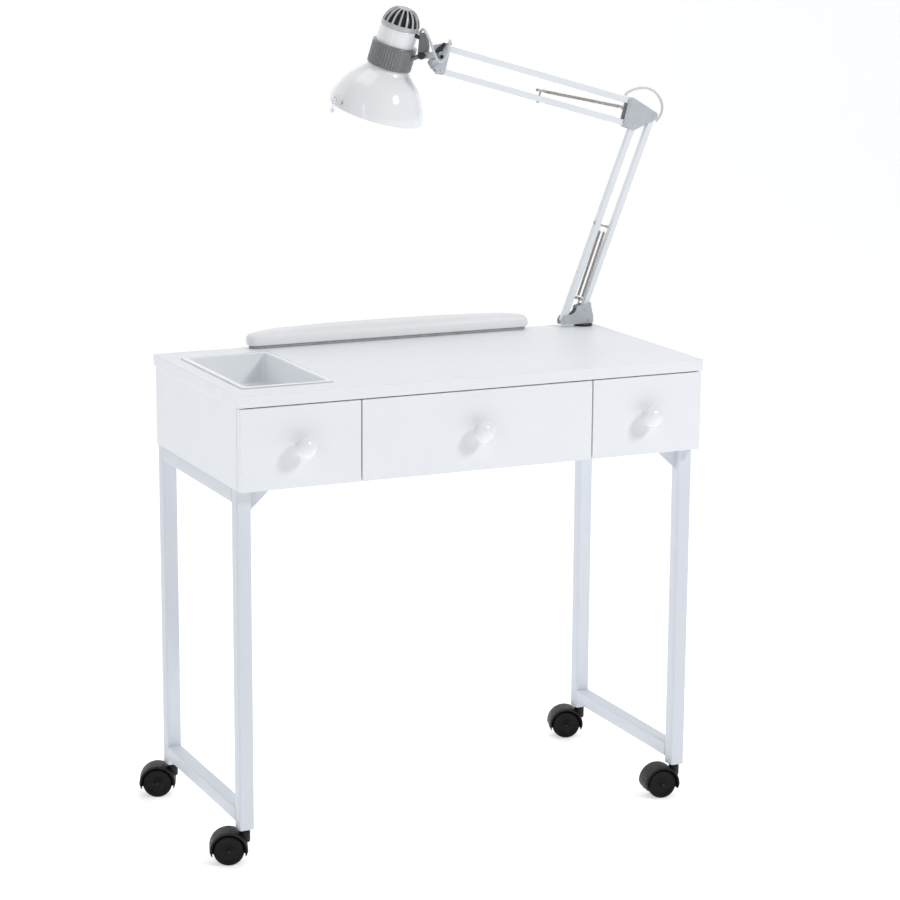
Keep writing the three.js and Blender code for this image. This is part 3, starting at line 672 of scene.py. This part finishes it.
def hood_shape():
    """A twin-wheel hood: a rounded band over both wheels, a middle web, a round stem housing and the axle."""
    steps = 44
    rings = []
    for i in range(steps + 1):
        turn = math.radians(-18 + 216 * i / steps)
        tip = min(1.0, min(i, steps - i) / 3)
        w = HOOD_HALF
        section = [(-w, 28.8), (-w, 30.6), (-w + 1.2, 31.5), (-w + 4, 32.0), (0, 32.0), (w - 4, 32.0), (w - 1.2, 31.5),
                   (w, 30.6), (w, 28.8), (w - 0.8, 28.5), (0, 28.5), (-w + 0.8, 28.5)]
        if tip < 1.0:
            section = [(y, 28.5 + (r - 28.5) * (0.45 + 0.55 * tip)) for y, r in section]
        rings.append([(TRAIL + r * math.cos(turn), y, AXLE_Z + r * math.sin(turn)) for y, r in section])
    band = loft(rings)
    turns = [math.radians(a) for a in range(-18, 199, 6)]
    web = prism([(TRAIL + 31.0 * math.cos(t), AXLE_Z + 31.0 * math.sin(t)) for t in turns], -3.4, 3.4)
    axle = along_y(cylinder(3.4, -19.4, 19.4, 28), TRAIL, AXLE_Z)
    housing = lathe([(0, 36.5), (8.2, 36.5), (9, 39), (9, 56.2), (8.4, 57.7), (6.4, 58.0), (0, 58.0)], 40)
    stem = cylinder(4.9, 57.0, 82.5, 28)
    return joined(band, web, axle, housing, stem)


def wheel_shape(direction):
    """A moulded half wheel: domed tread, a shallow dish on its face and a hub boss."""
    inner, outer = 4.3, 17.8
    profile = [(3.8, inner), (22, inner), (24.6, inner + 0.6), (25.8, inner + 2.2), (26, inner + 5), (26, outer - 5),
               (25.7, outer - 2.6), (24.7, outer - 0.9), (23.2, outer - 0.1), (22, outer), (20.6, outer - 0.5),
               (19.6, outer - 1.4), (8.6, outer - 1.7), (7.8, outer - 0.9), (7.2, outer - 0.6), (4.6, outer - 0.6),
               (3.8, outer - 1.0), (3.8, inner)]
    shape = lathe(profile, 72)
    return moved(shape, Matrix.Rotation(direction * math.pi / 2, 4, "X"))


for end, y in LEG_YS.items():
    for side, word in ((-1, "left"), (1, "right")):
        where = f"{end}_{word}"
        place = Matrix.Translation((side * LEG_X, y, 0.0)) @ Matrix.Rotation(math.radians(CASTOR_TURN[where]), 4, "Z")
        piece(f"castor_{where}_housing", moved(hood_shape(), place), CASTOR, f"castor_{where}",
              [f"castor_{where}_hood"], bevel=0.5, sharp=50)
        for half, direction in (("near", 1), ("far", -1)):
            turn = place @ Matrix.Translation((TRAIL, 0, AXLE_Z))
            piece(f"castor_{where}_tread_{half}", moved(wheel_shape(direction), turn), WHEEL, f"castor_{where}_{half}",
                  [f"castor_{where}_wheel_{half}"], sharp=55)

# ---------------------------------------------------------------- lamp

SWIVEL_X = 397.0
A, B = (355.0, 14.0), (396.0, 31.0)
LEAN, RISE = math.radians(21.3), math.radians(15.6)
LOWER, UPPER = 375.0, 387.0
LOWER_RUN, UPPER_RUN = (math.sin(LEAN), math.cos(LEAN)), (-math.cos(RISE), math.sin(RISE))


def step(p, run, length):
    return (p[0] + run[0] * length, p[1] + run[1] * length)


ELBOW_LEFT, ELBOW_RIGHT = step(A, LOWER_RUN, LOWER), step(B, LOWER_RUN, LOWER)
ELBOW_LOW = (ELBOW_LEFT[0] - 15, ELBOW_LEFT[1] + 5)
ELBOW_TOP = (ELBOW_LOW[0] + 10, ELBOW_LOW[1] + 39.8)
HEAD_LOW, HEAD_TOP = step(ELBOW_LOW, UPPER_RUN, UPPER), step(ELBOW_TOP, UPPER_RUN, UPPER)
TILT = (75.0, 499.0)
WING = (99.0, 511.0)
HEAD_SWIVEL_X = 91.0
HEAD_TURN, HEAD_LEAN = math.radians(-53.0), math.radians(18.3)
CHEEK = (6.2, 8.7)
BAR_HALF, PIN_R = 5.5, 2.5


def in_lamp(shape):
    """A shape drawn in the lamp's own frame."""
    return shifted(shape, 0.0, LAMP_Y, TOP)


SWIVEL = (Matrix.Translation((HEAD_SWIVEL_X, 0, 0)) @ Matrix.Rotation(HEAD_TURN, 4, "Z")
          @ Matrix.Translation((-HEAD_SWIVEL_X, 0, 0)))


def in_head(shape):
    """A shape drawn in the head's own upright plane, turned about the swivel."""
    return in_lamp(moved(shape, SWIVEL))


def rivet(p, y, radius=3.6, height=1.2):
    """A low domed head on a cheek's outer face, facing -Y or +Y."""
    r, h = radius, height
    head = lathe([(0, -0.3), (r, -0.3), (r, h * 0.3), (r * 0.86, h * 0.72), (r * 0.5, h * 0.95), (0, h)], 28)
    turn = math.pi / 2 if y < 0 else -math.pi / 2
    return moved(head, Matrix.Translation((p[0], y, p[1])) @ Matrix.Rotation(turn, 4, "X"))


def cheeks(outline):
    """The two side plates of a casting."""
    return [prism(outline, -CHEEK[1], -CHEEK[0]), prism(outline, CHEEK[0], CHEEK[1])]


def pins(points):
    """A pivot pin through a casting at each point, with a rivet head on each side."""
    out = []
    for p in points:
        out.append(along_y(cylinder(PIN_R, -9.0, 9.0, 24, 0.2), *p))
        out += [rivet(p, -CHEEK[1]), rivet(p, CHEEK[1])]
    return out


def bar_shape(p, run, length):
    """A white square tube of the arm with round flattened ends."""
    half = BAR_HALF
    near = [(-half * math.cos(a), -half * math.sin(a)) for a in np.linspace(-math.pi / 2, math.pi / 2, 13)][::-1]
    far = [(length - x, -z) for x, z in near]
    turn = Matrix.Rotation(-math.atan2(run[1], run[0]), 4, "Y")
    return moved(prism(near + far, -half, half), Matrix.Translation((p[0], 0, p[1])) @ turn)


def bar(name, p, run, length, body, node):
    piece(name, in_lamp(bar_shape(p, run, length)), LAMP_WHITE, body, [node], bevel=1.0, sharp=50)


def post_points(p, run, along):
    """Where a spring's post stands on a bar and where its cross-pin is."""
    base = step(p, run, along)
    return base, step(base, (run[1], -run[0]), 15.0)


def cross_pin(p):
    """The short pin across a post or yoke that the springs hook on, with a ball at each end."""
    ball = lathe([(0, -1.7), (2.2, -1.5), (3.1, -0.6), (3.1, 0.6), (2.2, 1.5), (0, 1.7)], 28)
    return joined(along_y(cylinder(1.8, -14, 14, 20, 0.2), *p), along_y(ball, *p, y=-13.0), along_y(ball, *p, y=13.0))


SPRING_Y, COIL_R, WIRE_R, HOOK = 8.4, 2.25, 0.5, 4.5


def coil(start, end, y):
    """A close-wound tension spring, its ends drawn out into hooks."""
    a, b = Vector((start[0], y, start[1])), Vector((end[0], y, end[1]))
    run = b - a
    turns = int(run.length / (WIRE_R * 2.08))
    ahead_of = run.normalized()
    u = Vector((0, 1, 0))
    v = ahead_of.cross(u)
    per = 14
    points = []
    for i in range(turns * per + 1):
        t = 2 * math.pi * i / per
        points.append(a + run * (i / (turns * per)) + (u * math.cos(t) + v * math.sin(t)) * COIL_R)
    lead_in = [a - ahead_of * HOOK, a - ahead_of * HOOK * 0.5 + u * COIL_R * 0.5]
    lead_out = [b + ahead_of * HOOK * 0.5 + u * COIL_R * 0.5, b + ahead_of * HOOK]
    return sweep([*lead_in, *points, *lead_out], WIRE_R, 6)


EYE_R, LINK_R, LINK_Y = 2.5, 0.8, 1.6


def eye(p, y):
    """A small closed loop of wire round a pin that runs along Y."""
    turns = [*around(20), 2 * math.pi]
    return sweep([(p[0] + EYE_R * math.cos(t), y, p[1] + EYE_R * math.sin(t)) for t in turns], LINK_R, 8)


def spring_pair(name, anchor, start, end, moving, node):
    """The two springs on their bar, and the wire link from their yoke to the casting."""
    direction = (Vector(end) - Vector(start)).normalized()
    s, e = Vector(start) + direction * 5, Vector(end) - direction * 5
    shapes = [coil(s, e, y) for y in (-SPRING_Y, SPRING_Y)]
    piece(name + "_coils", in_lamp(joined(*shapes, cross_pin(start))), SPRING, moving, [node], sharp=70)
    away = (Vector(start) - Vector(anchor)).normalized() * EYE_R
    near, far = Vector(anchor) + away, Vector(start) - away
    wires = [sweep([(near.x, y, near.y), (far.x, y, far.y)], LINK_R, 8) for y in (-LINK_Y, LINK_Y)]
    eyes = [eye(p, y) for p in (anchor, start) for y in (-LINK_Y, LINK_Y)]
    link = piece(name + "_link", in_lamp(joined(*wires, *eyes)), SPRING, None, sharp=70)
    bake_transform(link)


def screw_head(p, run, along):
    """The small screw head that holds a spring's post, on the bar's outer side."""
    base = step(p, run, along)
    across = Vector((-run[1], 0, run[0]))
    foot = Vector((base[0], 0, base[1])) + across * 5.2
    turn = Vector((0, 0, 1)).rotation_difference(across).to_matrix().to_4x4()
    head = lathe([(0, 0), (3.0, 0), (3.0, 1.2), (2.2, 2.3), (0, 2.5)], 24)
    return moved(head, Matrix.Translation(foot) @ turn)


def spring_post(name, p, run, along, body):
    """A post standing on its bar, with its cross-pin and its screw. Gives the point where the springs hook on."""
    base, pin = post_points(p, run, along)
    stem = sweep([(base[0], 0, base[1]), (pin[0], 0, pin[1])], 1.8, 16)
    shape = joined(joined(stem, cross_pin(pin)), screw_head(p, run, along))
    piece(name, in_lamp(shape), SPRING, body, sharp=60)
    return post_points(p, run, along - 6)[1]


# Foot and base bracket.
foot = joined(
    lathe([(0, 0.3), (16.4, 0.3), (17, 0.9), (17, 3.0), (16.2, 3.8), (9, 4.0), (0, 4.0)], 56),
    cylinder(5.0, 3.0, 19.0, 32),
)
piece("lamp_foot_disc", in_lamp(shifted(foot, SWIVEL_X)), BLACK, "table", ["lamp_foot"], bevel=0.3)

base_outline = rounded([(347, 4.6), (413.5, 4.6), (413.8, 16), (408, 40), (409.5, 43), (404, 43.5), (401, 41.5),
                        (396, 40.5), (391, 41), (386, 39), (379.5, 37.5), (379, 30), (373.5, 24.5), (366, 21.8),
                        (352, 22), (346.8, 14)], 4, 4)
BASE_HOOK = (384.0, 34.5)
base = joined(
    *cheeks(base_outline),
    box((370, 413), (-7.0, 7.0), (4.6, 8.6)),
    shifted(lathe([(5.3, 4.7), (7.6, 4.7), (7.6, 19.4), (6.9, 20.0), (5.3, 20.0), (5.3, 4.7)], 36), SWIVEL_X),
    *pins([A, B]),
    along_y(cylinder(1.6, -7.0, 7.0, 20), *BASE_HOOK),
    *[rivet((404, 12), y, 3.0, 1.0) for y in (-CHEEK[1], CHEEK[1])],
)
piece("lamp_base_casting", in_lamp(base), CAST, "lamp_base", ["lamp_base_bracket"], bevel=0.6)

# Lower arm.
bar("lower_right_tube", B, LOWER_RUN, LOWER, "lower_right", "lower_bar_right")
bar("lower_left_tube", A, LOWER_RUN, LOWER, "lower_left", "lower_bar_left")
LOWER_POST = 186.0
lower_pin = spring_post("lower_spring_post", A, LOWER_RUN, LOWER_POST, "lower_left")
spring_pair("lower_spring", BASE_HOOK, (388.5, 50.0), lower_pin, "lower_left", "lower_springs")

# Elbow.
elbow_outline = hull([(*ELBOW_TOP, 7.0), (*ELBOW_RIGHT, 7.5), (*ELBOW_LEFT, 7.5), (*ELBOW_LOW, 7.0)])
raised = [(ELBOW_LEFT[0] + (x - ELBOW_LEFT[0] - 8) * 0.72 + 6, ELBOW_TOP[1] - 17 + (z - ELBOW_TOP[1] + 17) * 0.62)
          for x, z in elbow_outline]
elbow = joined(
    *cheeks(elbow_outline),
    *pins([ELBOW_TOP, ELBOW_RIGHT, ELBOW_LEFT, ELBOW_LOW]),
    prism(raised, -9.25, -8.6),
    prism(raised, 8.6, 9.25),
)
piece("elbow_casting", in_lamp(elbow), CAST, "elbow", ["elbow_bracket"], bevel=0.55)

# Upper arm.
bar("upper_top_tube", ELBOW_TOP, UPPER_RUN, UPPER, "upper_top", "upper_bar_top")
bar("upper_low_tube", ELBOW_LOW, UPPER_RUN, UPPER, "upper_low", "upper_bar_low")
UPPER_POST = 184.0
ELBOW_HOOK = (470.0, 396.5)
upper_pin = spring_post("upper_spring_post", ELBOW_LOW, UPPER_RUN, UPPER_POST, "upper_low")
spring_pair("upper_spring", ELBOW_HOOK, (461.0, 399.5), upper_pin, "upper_low", "upper_springs")

# Head bracket, wing nut, knuckle and thumb screw.
bracket_outline = hull([(*HEAD_TOP, 7.0), (*HEAD_LOW, 7.0), (HEAD_SWIVEL_X, 487, 7.0), (*WING, 6.5)])


def notched(outline, x_max, z0, z1):
    """The outline with a rectangular mouth cut in from the left, up to x_max."""
    middle = (x_max + 4, (z0 + z1) / 2)
    kept = [(x, z) for x, z in outline if z > z1 or z < z0 or x > x_max]
    ring = sorted(kept, key=lambda p: math.atan2(p[1] - middle[1], p[0] - middle[0]))

    def edge_x(z):
        """The outline's left edge at a height."""
        best = [x for x, edge_z in outline if abs(edge_z - z) < 3 and x < x_max]
        return min(best) if best else x_max - 6

    return ring + [(edge_x(z1), z1), (x_max, z1), (x_max, z0), (edge_x(z0), z0)]


MOUTH_LOW, MOUTH_HIGH = 493.0, 505.4
bracket = joined(
    *cheeks(notched(bracket_outline, HEAD_SWIVEL_X + 7.7, MOUTH_LOW, MOUTH_HIGH)),
    shifted(lathe([(4.2, 480.7), (6.6, 480.7), (7.4, 481.6), (7.4, 492.2), (6.6, MOUTH_LOW), (4.2, MOUTH_LOW),
                   (4.2, 480.7)], 36), HEAD_SWIVEL_X),
    box((93, 97), (-7.0, 7.0), (481.0, 492.8)),
    *pins([HEAD_TOP, HEAD_LOW]),
)
stud = lathe([(0, -0.4), (3.4, -0.4), (3.4, 1.6), (2.8, 2.3), (1.2, 2.5), (0, 2.3)], 24)
stud = moved(stud, Matrix.Translation((103.0, -CHEEK[1], 497.0)) @ Matrix.Rotation(math.pi / 2, 4, "X"))
piece("bracket_stud", in_lamp(stud), BLACK, "head_mount", sharp=50)
clip_end = Vector((HEAD_TOP[0] + 2.0, 0, HEAD_TOP[1] + 4.6))
clip = box((clip_end.x - 1.0, clip_end.x + 9.0), (-3.4, 3.4), (clip_end.z, clip_end.z + 3.0))
piece("cord_clip", in_lamp(clip), BLACK, "upper_top", bevel=0.6)
piece("head_casting", in_lamp(bracket), CAST, "head_mount", ["head_bracket"], bevel=0.5)

wing = joined(
    along_y(cylinder(4.4, 9.1, 15.0, 28), *WING),
    prism(hull([(WING[0] - 7.5, WING[1] - 4, 3.1), (*WING, 3.9)]), -14.0, -11.6),
    prism(hull([(WING[0] + 6.5, WING[1] + 8, 3.1), (*WING, 3.9)]), -14.0, -11.6),
)
piece("wing_nut_body", in_lamp(wing), BLACK, "wing", ["wing_nut"], bevel=0.5)

x, z = TILT
knuckle = joined(
    *[prism(hull([(x, z, 5.4), (HEAD_SWIVEL_X, z, 5.4)]), y0, y1) for y0, y1 in ((-6.9, -4.1), (4.1, 6.9))],
    box((x + 8.8, HEAD_SWIVEL_X + 3.6), (-4.6, 4.6), (z - 5.2, z + 0.8)),
    along_y(cylinder(2.5, -8.0, 8.0, 24), x, z),
    shifted(cylinder(3.85, 477.2, z, 28), HEAD_SWIVEL_X),
    shifted(lathe([(0, 476.2), (5.2, 476.2), (5.8, 477.0), (5.8, 479.4), (5.2, 480.2), (0, 480.2)], 30),
            HEAD_SWIVEL_X),
)
piece("knuckle_fork", in_head(knuckle), CAST, "knuckle", ["head_knuckle"], bevel=0.5)


def lobed(radius, lobes, depth, z0, z1):
    """A hand-screw knob with a scalloped edge."""
    steps = lobes * 12
    ring = [polar(radius - depth * (0.5 - 0.5 * math.cos(lobes * t)) ** 2, t) for t in around(steps)]
    levels = [(0.9, z0), (1.0, z0 + 0.9), (1.0, z1 - 1.2), (0.9, z1 - 0.2), (0.6, z1)]
    return loft([[(x * k, y * k, z) for x, y in ring] for k, z in levels])


thumb = joined(along_y(lobed(6.5, 6, 1.3, 10.0, 19.0), *TILT), along_y(cylinder(3.1, 8.3, 11.0, 24), *TILT))
piece("thumb_screw_knob", in_head(thumb), BLACK, "thumb", ["tilt_thumb_screw"], bevel=0.3, sharp=60)

# Head. Its pieces are turned about an axis that leans towards the arm.
RIM = (-25.5, 397.0)
HEAD_AXIS = Matrix.Translation((RIM[0], 0, RIM[1])) @ Matrix.Rotation(HEAD_LEAN, 4, "Y")
COLLAR_LOW, COLLAR_HIGH = 85.3, 127.5
HOUSING_TOP, CAP_LOW = 157.0, 157.3


def on_head(shape):
    """A shape turned about Z with the rim at z = 0, set on the head's leaning axis."""
    return in_head(moved(shape, HEAD_AXIS))


def spline(profile, steps):
    """A smooth profile of (radius, height) through a few points."""
    return [(p.x, p.y) for p in curve([(r, z, 0) for r, z in profile], steps)]


bell = [(85.3, 0.8), (86.0, 4), (84.5, 15), (79.2, 29), (71.8, 43), (61.8, 56.4), (50.5, 68), (41.5, 77), (37.2, 84.6)]
outer = spline(bell, 44)
inner_wall = [(max(r - 1.6, 34.9), z - (1.0 if z > 30 else 0.2)) for r, z in reversed(outer)]
rim_roll = [(84.3, -0.2), (84.9, 0.0), (85.7, 0.3)]
shade = lathe([*rim_roll[1:], *outer, *inner_wall, rim_roll[0], rim_roll[1]], 128)
piece("shade_bell", on_head(shade), ENAMEL, "head", ["lamp_shade"], sharp=60)


def ribbed(radius, ribs, depth, z0, z1, inner_radius):
    """A ring with fine upright ribs and plain lips."""
    steps = ribs * 8
    levels = [(0.0, z0, -1.2), (0.0, z0 + 0.5, -0.3), (0.0, z0 + 1.2, 0.0), (0.0, z0 + 2.6, 0.0), (1.0, z0 + 3.4, 0.0),
              (1.0, z1 - 3.2, 0.0), (0.0, z1 - 2.4, 0.0), (0.0, z1 - 1.0, 0.0), (0.0, z1 - 0.3, -0.4), (0.0, z1, -1.2)]
    rings = []
    for rib, z, inset in levels:
        ring = []
        for turn in around(steps):
            groove = rib * depth * (0.5 - 0.5 * math.cos(ribs * turn)) ** 3
            ring.append((*polar(radius + inset - groove, turn), z))
        rings.append(ring)
    for z in (z1, z0):
        rings.append([(*polar(inner_radius, turn), z) for turn in around(steps)])
    return loft(rings, closed=True)


def leaf_shape():
    """The flat lug beside the collar that holds the tilt pivot, with the lower of its two spacers."""
    x, z = TILT
    outline = hull([(x - 1, z, 5.6), (x - 7, z - 1, 7.0), (x - 4, z + 33, 6.5), (x + 1, z + 16, 6.0)])
    web = prism(outline, -3.4, 3.4)
    rib = prism([(x - 3 + (px - x + 3) * 0.62, z + 16 + (pz - z - 16) * 0.74) for px, pz in outline], -4.0, 4.0)
    low_spacer = sweep([(x - 9, 0, z - 1), (x - 27.5, 0, z - 7.8)], 4.0, 24)
    return joined(web, rib, low_spacer)


collar = joined(on_head(ribbed(40.3, 46, 1.3, COLLAR_LOW, COLLAR_HIGH, 35.4)), in_head(leaf_shape()))
piece("collar_ring", collar, COLLAR, "head", ["lamp_collar"], bevel=0.3, sharp=42)
spacer = sweep([(TILT[0] - 9, 0, TILT[1] + 29.7), (TILT[0] - 19.5, 0, TILT[1] + 33.2)], 3.9, 24)
piece("upper_spacer", in_head(spacer), BLACK, "head", bevel=0.4)

housing = lathe([(33.2, 92), (35, 92), (35, 153.4), (34.6, 155.8), (33.6, HOUSING_TOP), (32.6, HOUSING_TOP), (32.6, 96),
                 (33.2, 92)], 96)
socket = lathe([(0, 96), (17, 96), (17, 99), (15.5, 100), (15.5, 148), (0, 150)], 48)
piece("socket_sleeve", on_head(housing), ENAMEL, "head", ["lamp_housing"], sharp=50)
piece("lamp_holder", on_head(socket), BLACK, "head", sharp=40)


def vent_shape():
    """A domed cap with radial slots between ribs, closed at the crown and at the rim."""
    slots, per = 16, 10
    steps = slots * per
    radius, rise, thick = 34.5, 36.5, 2.0
    levels = 26
    outer_rings, inner_rings = [], []
    for k in range(levels + 1):
        lift = (k / levels) * math.radians(84)
        for rings, r0, h0 in ((outer_rings, radius, rise), (inner_rings, radius - thick, rise - thick)):
            r = r0 * math.cos(lift) ** 0.8
            z = CAP_LOW + h0 * math.sin(lift)
            rings.append([(*polar(r, turn), z) for turn in around(steps)])
    vertices, faces = [], []
    index = {}

    def at(shell, k, i):
        key = (shell, k, i % steps)
        if key not in index:
            index[key] = len(vertices)
            vertices.append((outer_rings if shell == 0 else inner_rings)[k][i % steps])
        return index[key]

    def is_open(k, i):
        return 4 <= k < 22 and 2 <= i % per < per - 1

    for k in range(levels):
        for i in range(steps):
            if is_open(k, i):
                continue
            faces.append((at(0, k, i), at(0, k, i + 1), at(0, k + 1, i + 1), at(0, k + 1, i)))
            faces.append((at(1, k, i), at(1, k + 1, i), at(1, k + 1, i + 1), at(1, k, i + 1)))
            for dk, di, p, q in ((0, 1, (k, i + 1), (k + 1, i + 1)), (0, -1, (k + 1, i), (k, i)),
                                 (1, 0, (k + 1, i + 1), (k + 1, i)), (-1, 0, (k, i), (k, i + 1))):
                if 0 <= k + dk < levels and is_open(k + dk, i + di):
                    faces.append((at(0, *q), at(0, *p), at(1, *p), at(1, *q)))
    for i in range(steps):
        faces.append((at(0, 0, i + 1), at(0, 0, i), at(1, 0, i), at(1, 0, i + 1)))
    for shell, rings in ((0, outer_rings), (1, inner_rings)):
        ring = [at(shell, levels, i) for i in range(steps)]
        faces.append(tuple(ring) if shell == 0 else tuple(reversed(ring)))
    return vertices, faces


# A black dome just inside the vent cap, seen dark through its slots: painted shade that stands in for the shadow inside
# the cap.
lifts = [math.radians(a) for a in range(0, 85, 6)]
painted_shade_dome = [(30.0 * math.cos(t) ** 0.8, 157.5 + 31.0 * math.sin(t)) for t in lifts]
piece("vent_painted_shade", on_head(lathe([(0, 157.5), *painted_shade_dome, (0, 189.0)], 64)), BLACK, "head", sharp=60)
piece("vent_dome", on_head(vent_shape()), VENT, "head", ["vent_cap"], bevel=0.25, segments=2,
      sharp=40)

glass = spline([(0.4, 13.2), (9, 13.9), (18.5, 18), (26, 25.5), (29.8, 36), (28.6, 47), (23.5, 58), (17.5, 68),
                (14.2, 76)], 40)
bulb = lathe([(0, 13.1), *glass, (13.4, 78), (13.4, 80), (0, 80)], 72)
piece("bulb_envelope", on_head(bulb), BULB, "head", ["bulb"], sharp=60)
threads = [(13.1 + 0.5 * math.sin(i * math.pi / 2), 79.5 + i * 0.6) for i in range(28)]
thread = lathe([(0, 79), (13, 79), *threads, (9, 97), (4, 98), (0, 98)], 48)
piece("bulb_thread", on_head(thread), VENT, "head", sharp=60)

# The clear grip on the rim: a V of round rod clipped over the edge, with a flat tab at its point.
reach = 86.9
strands = []
for side in (-1, 1):
    path = curve([(-reach + 4.2, side * 9.5, 7), (-reach - 0.2, side * 9.6, 14.5), (-reach - 2.2, side * 8.8, 13),
                  (-reach - 5.2, side * 5.2, 3), (-reach - 8.2, side * 1.8, -8)], 26)
    strands.append(sweep(path, 2.1, 16))
tab = sweep([(-reach - 7.2, 0, -4.0), (-reach - 8.0, 0, -7.5), (-reach - 9.0, 0, -12.4)], [2.6, 3.4, 2.4], 18)
GRIP_TURN = Matrix.Rotation(math.radians(66.0), 4, "Z")
piece("clear_grip", on_head(moved(joined(*strands, tab), GRIP_TURN)), CLEAR, "head",
      ["shade_handle"], sharp=60)

# ---------------------------------------------------------------- cords

CORD_R = 2.25
CORD_STEPS = 96
ELBOW_ROUTE = [(476, 0, 418.4), (479, 0, 423), (489, 0, 427.5), (504, 0, 431), (520, 0, 430.5), (535, 0, 424.5),
               (547, 0, 413), (553, 0, 399), (552.5, 0, 386), (547, 0, 376), (541, 0, 369.5)]
HEAD_ROUTE = [(124, 0, 517), (123, -2, 521.5), (119.5, -8, 525), (115, -15, 521), (111.5, -19, 510), (107, -20, 498),
              (100, -20, 490), (93, -19.5, 490), (87, -18, 499), (84, -12.5, 513), (82.5, -2.5, 527), (80.5, 8, 538.5),
              (80, 17, 544), (79.5, 25, 541.5), (78, 30.5, 535.5)]


def cord_pieces(names, route, cuts, node):
    """A cord made of stretches with no body of their own, the first in place of the node. cuts are shares of the whole
    length.
    """
    whole = [Vector((x, LAMP_Y + y, TOP + z)) for x, y, z in curve(route, CORD_STEPS)]
    for i, name in enumerate(names):
        first, last = round(cuts[i] * CORD_STEPS), round(cuts[i + 1] * CORD_STEPS)
        path = whole[first : last + 1]
        made = piece(name, sweep(path, CORD_R, 20), CORD, None, [node] if i == 0 else [])
        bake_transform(made)


cord_pieces(["elbow_cord_upper", "elbow_cord_lower"], ELBOW_ROUTE,
            [0.0, 0.5, 1.0], "elbow_flex")
cord_pieces(["head_cord_arm", "head_cord_middle", "head_cord_head"], HEAD_ROUTE,
            [0.0, 0.34, 0.67, 1.0],
            "head_flex")

# ---------------------------------------------------------------- floor, backdrop and light


def sweep_backdrop():
    """A pale floor that curves up into a backdrop far behind."""
    front, bend, cove, wall, side = -6.0, 3.0, 2.5, 8.0, 12.0
    points = [(front, 0.0), (bend, 0.0)]
    for i in range(1, 13):
        turn = math.radians(90 * i / 12)
        points.append((bend + cove * math.sin(turn), cove * (1 - math.cos(turn))))
    points.append((bend + cove, wall))
    vertices, faces = [], []
    for y, z in points:
        vertices += [(-side, y, z), (side, y, z)]
    for i in range(len(points) - 1):
        faces.append((2 * i, 2 * i + 1, 2 * i + 3, 2 * i + 2))
    mesh = bpy.data.meshes.new("floor")
    mesh.from_pydata(vertices, [], faces)
    mesh.shade_smooth()
    made = bpy.data.objects.new("floor", mesh)
    bpy.context.collection.objects.link(made)
    paper = Finish("studio paper", Roughness=0.9, Emission_Color=(1.0, 1.0, 1.0, 1.0), Emission_Strength=0.46)
    paper.color(paper.noise(2.0), tinted((0.93, 0.93, 0.935), 0.01))
    mesh.materials.append(paper.material)


sweep_backdrop()

world = bpy.data.worlds.new("studio")
bpy.context.scene.world = world
world.use_nodes = True
world.node_tree.nodes["Background"].inputs["Color"].default_value = (0.93, 0.96, 1.0, 1.0)
world.node_tree.nodes["Background"].inputs["Strength"].default_value = 0.36


def area_light(name, place, target, size, power, color=(1, 1, 1)):
    data = bpy.data.lights.new(name, "AREA")
    data.shape = "RECTANGLE"
    data.size, data.size_y = size
    data.energy = power
    data.color = color
    made = bpy.data.objects.new(name, data)
    bpy.context.collection.objects.link(made)
    made.location = place
    made.rotation_mode = "QUATERNION"
    made.rotation_quaternion = (Vector(target) - Vector(place)).to_track_quat("-Z", "Y")


area_light("key", (1.9, -2.6, 3.0), (0, 0, 0.6), (0.8, 0.8), 54.0)
area_light("fill", (-3.2, -1.0, 1.6), (0, 0, 0.6), (2.2, 2.2), 6.0, (0.97, 0.98, 1.0))
area_light("strip", (-2.2, -1.7, 1.5), (0, 0.2, 1.0), (0.25, 2.4), 6.0)
area_light("top", (0.0, 0.6, 3.6), (0, 0, 0.8), (2.6, 2.0), 26.0)

bpy.context.scene.view_settings.view_transform = "Standard"
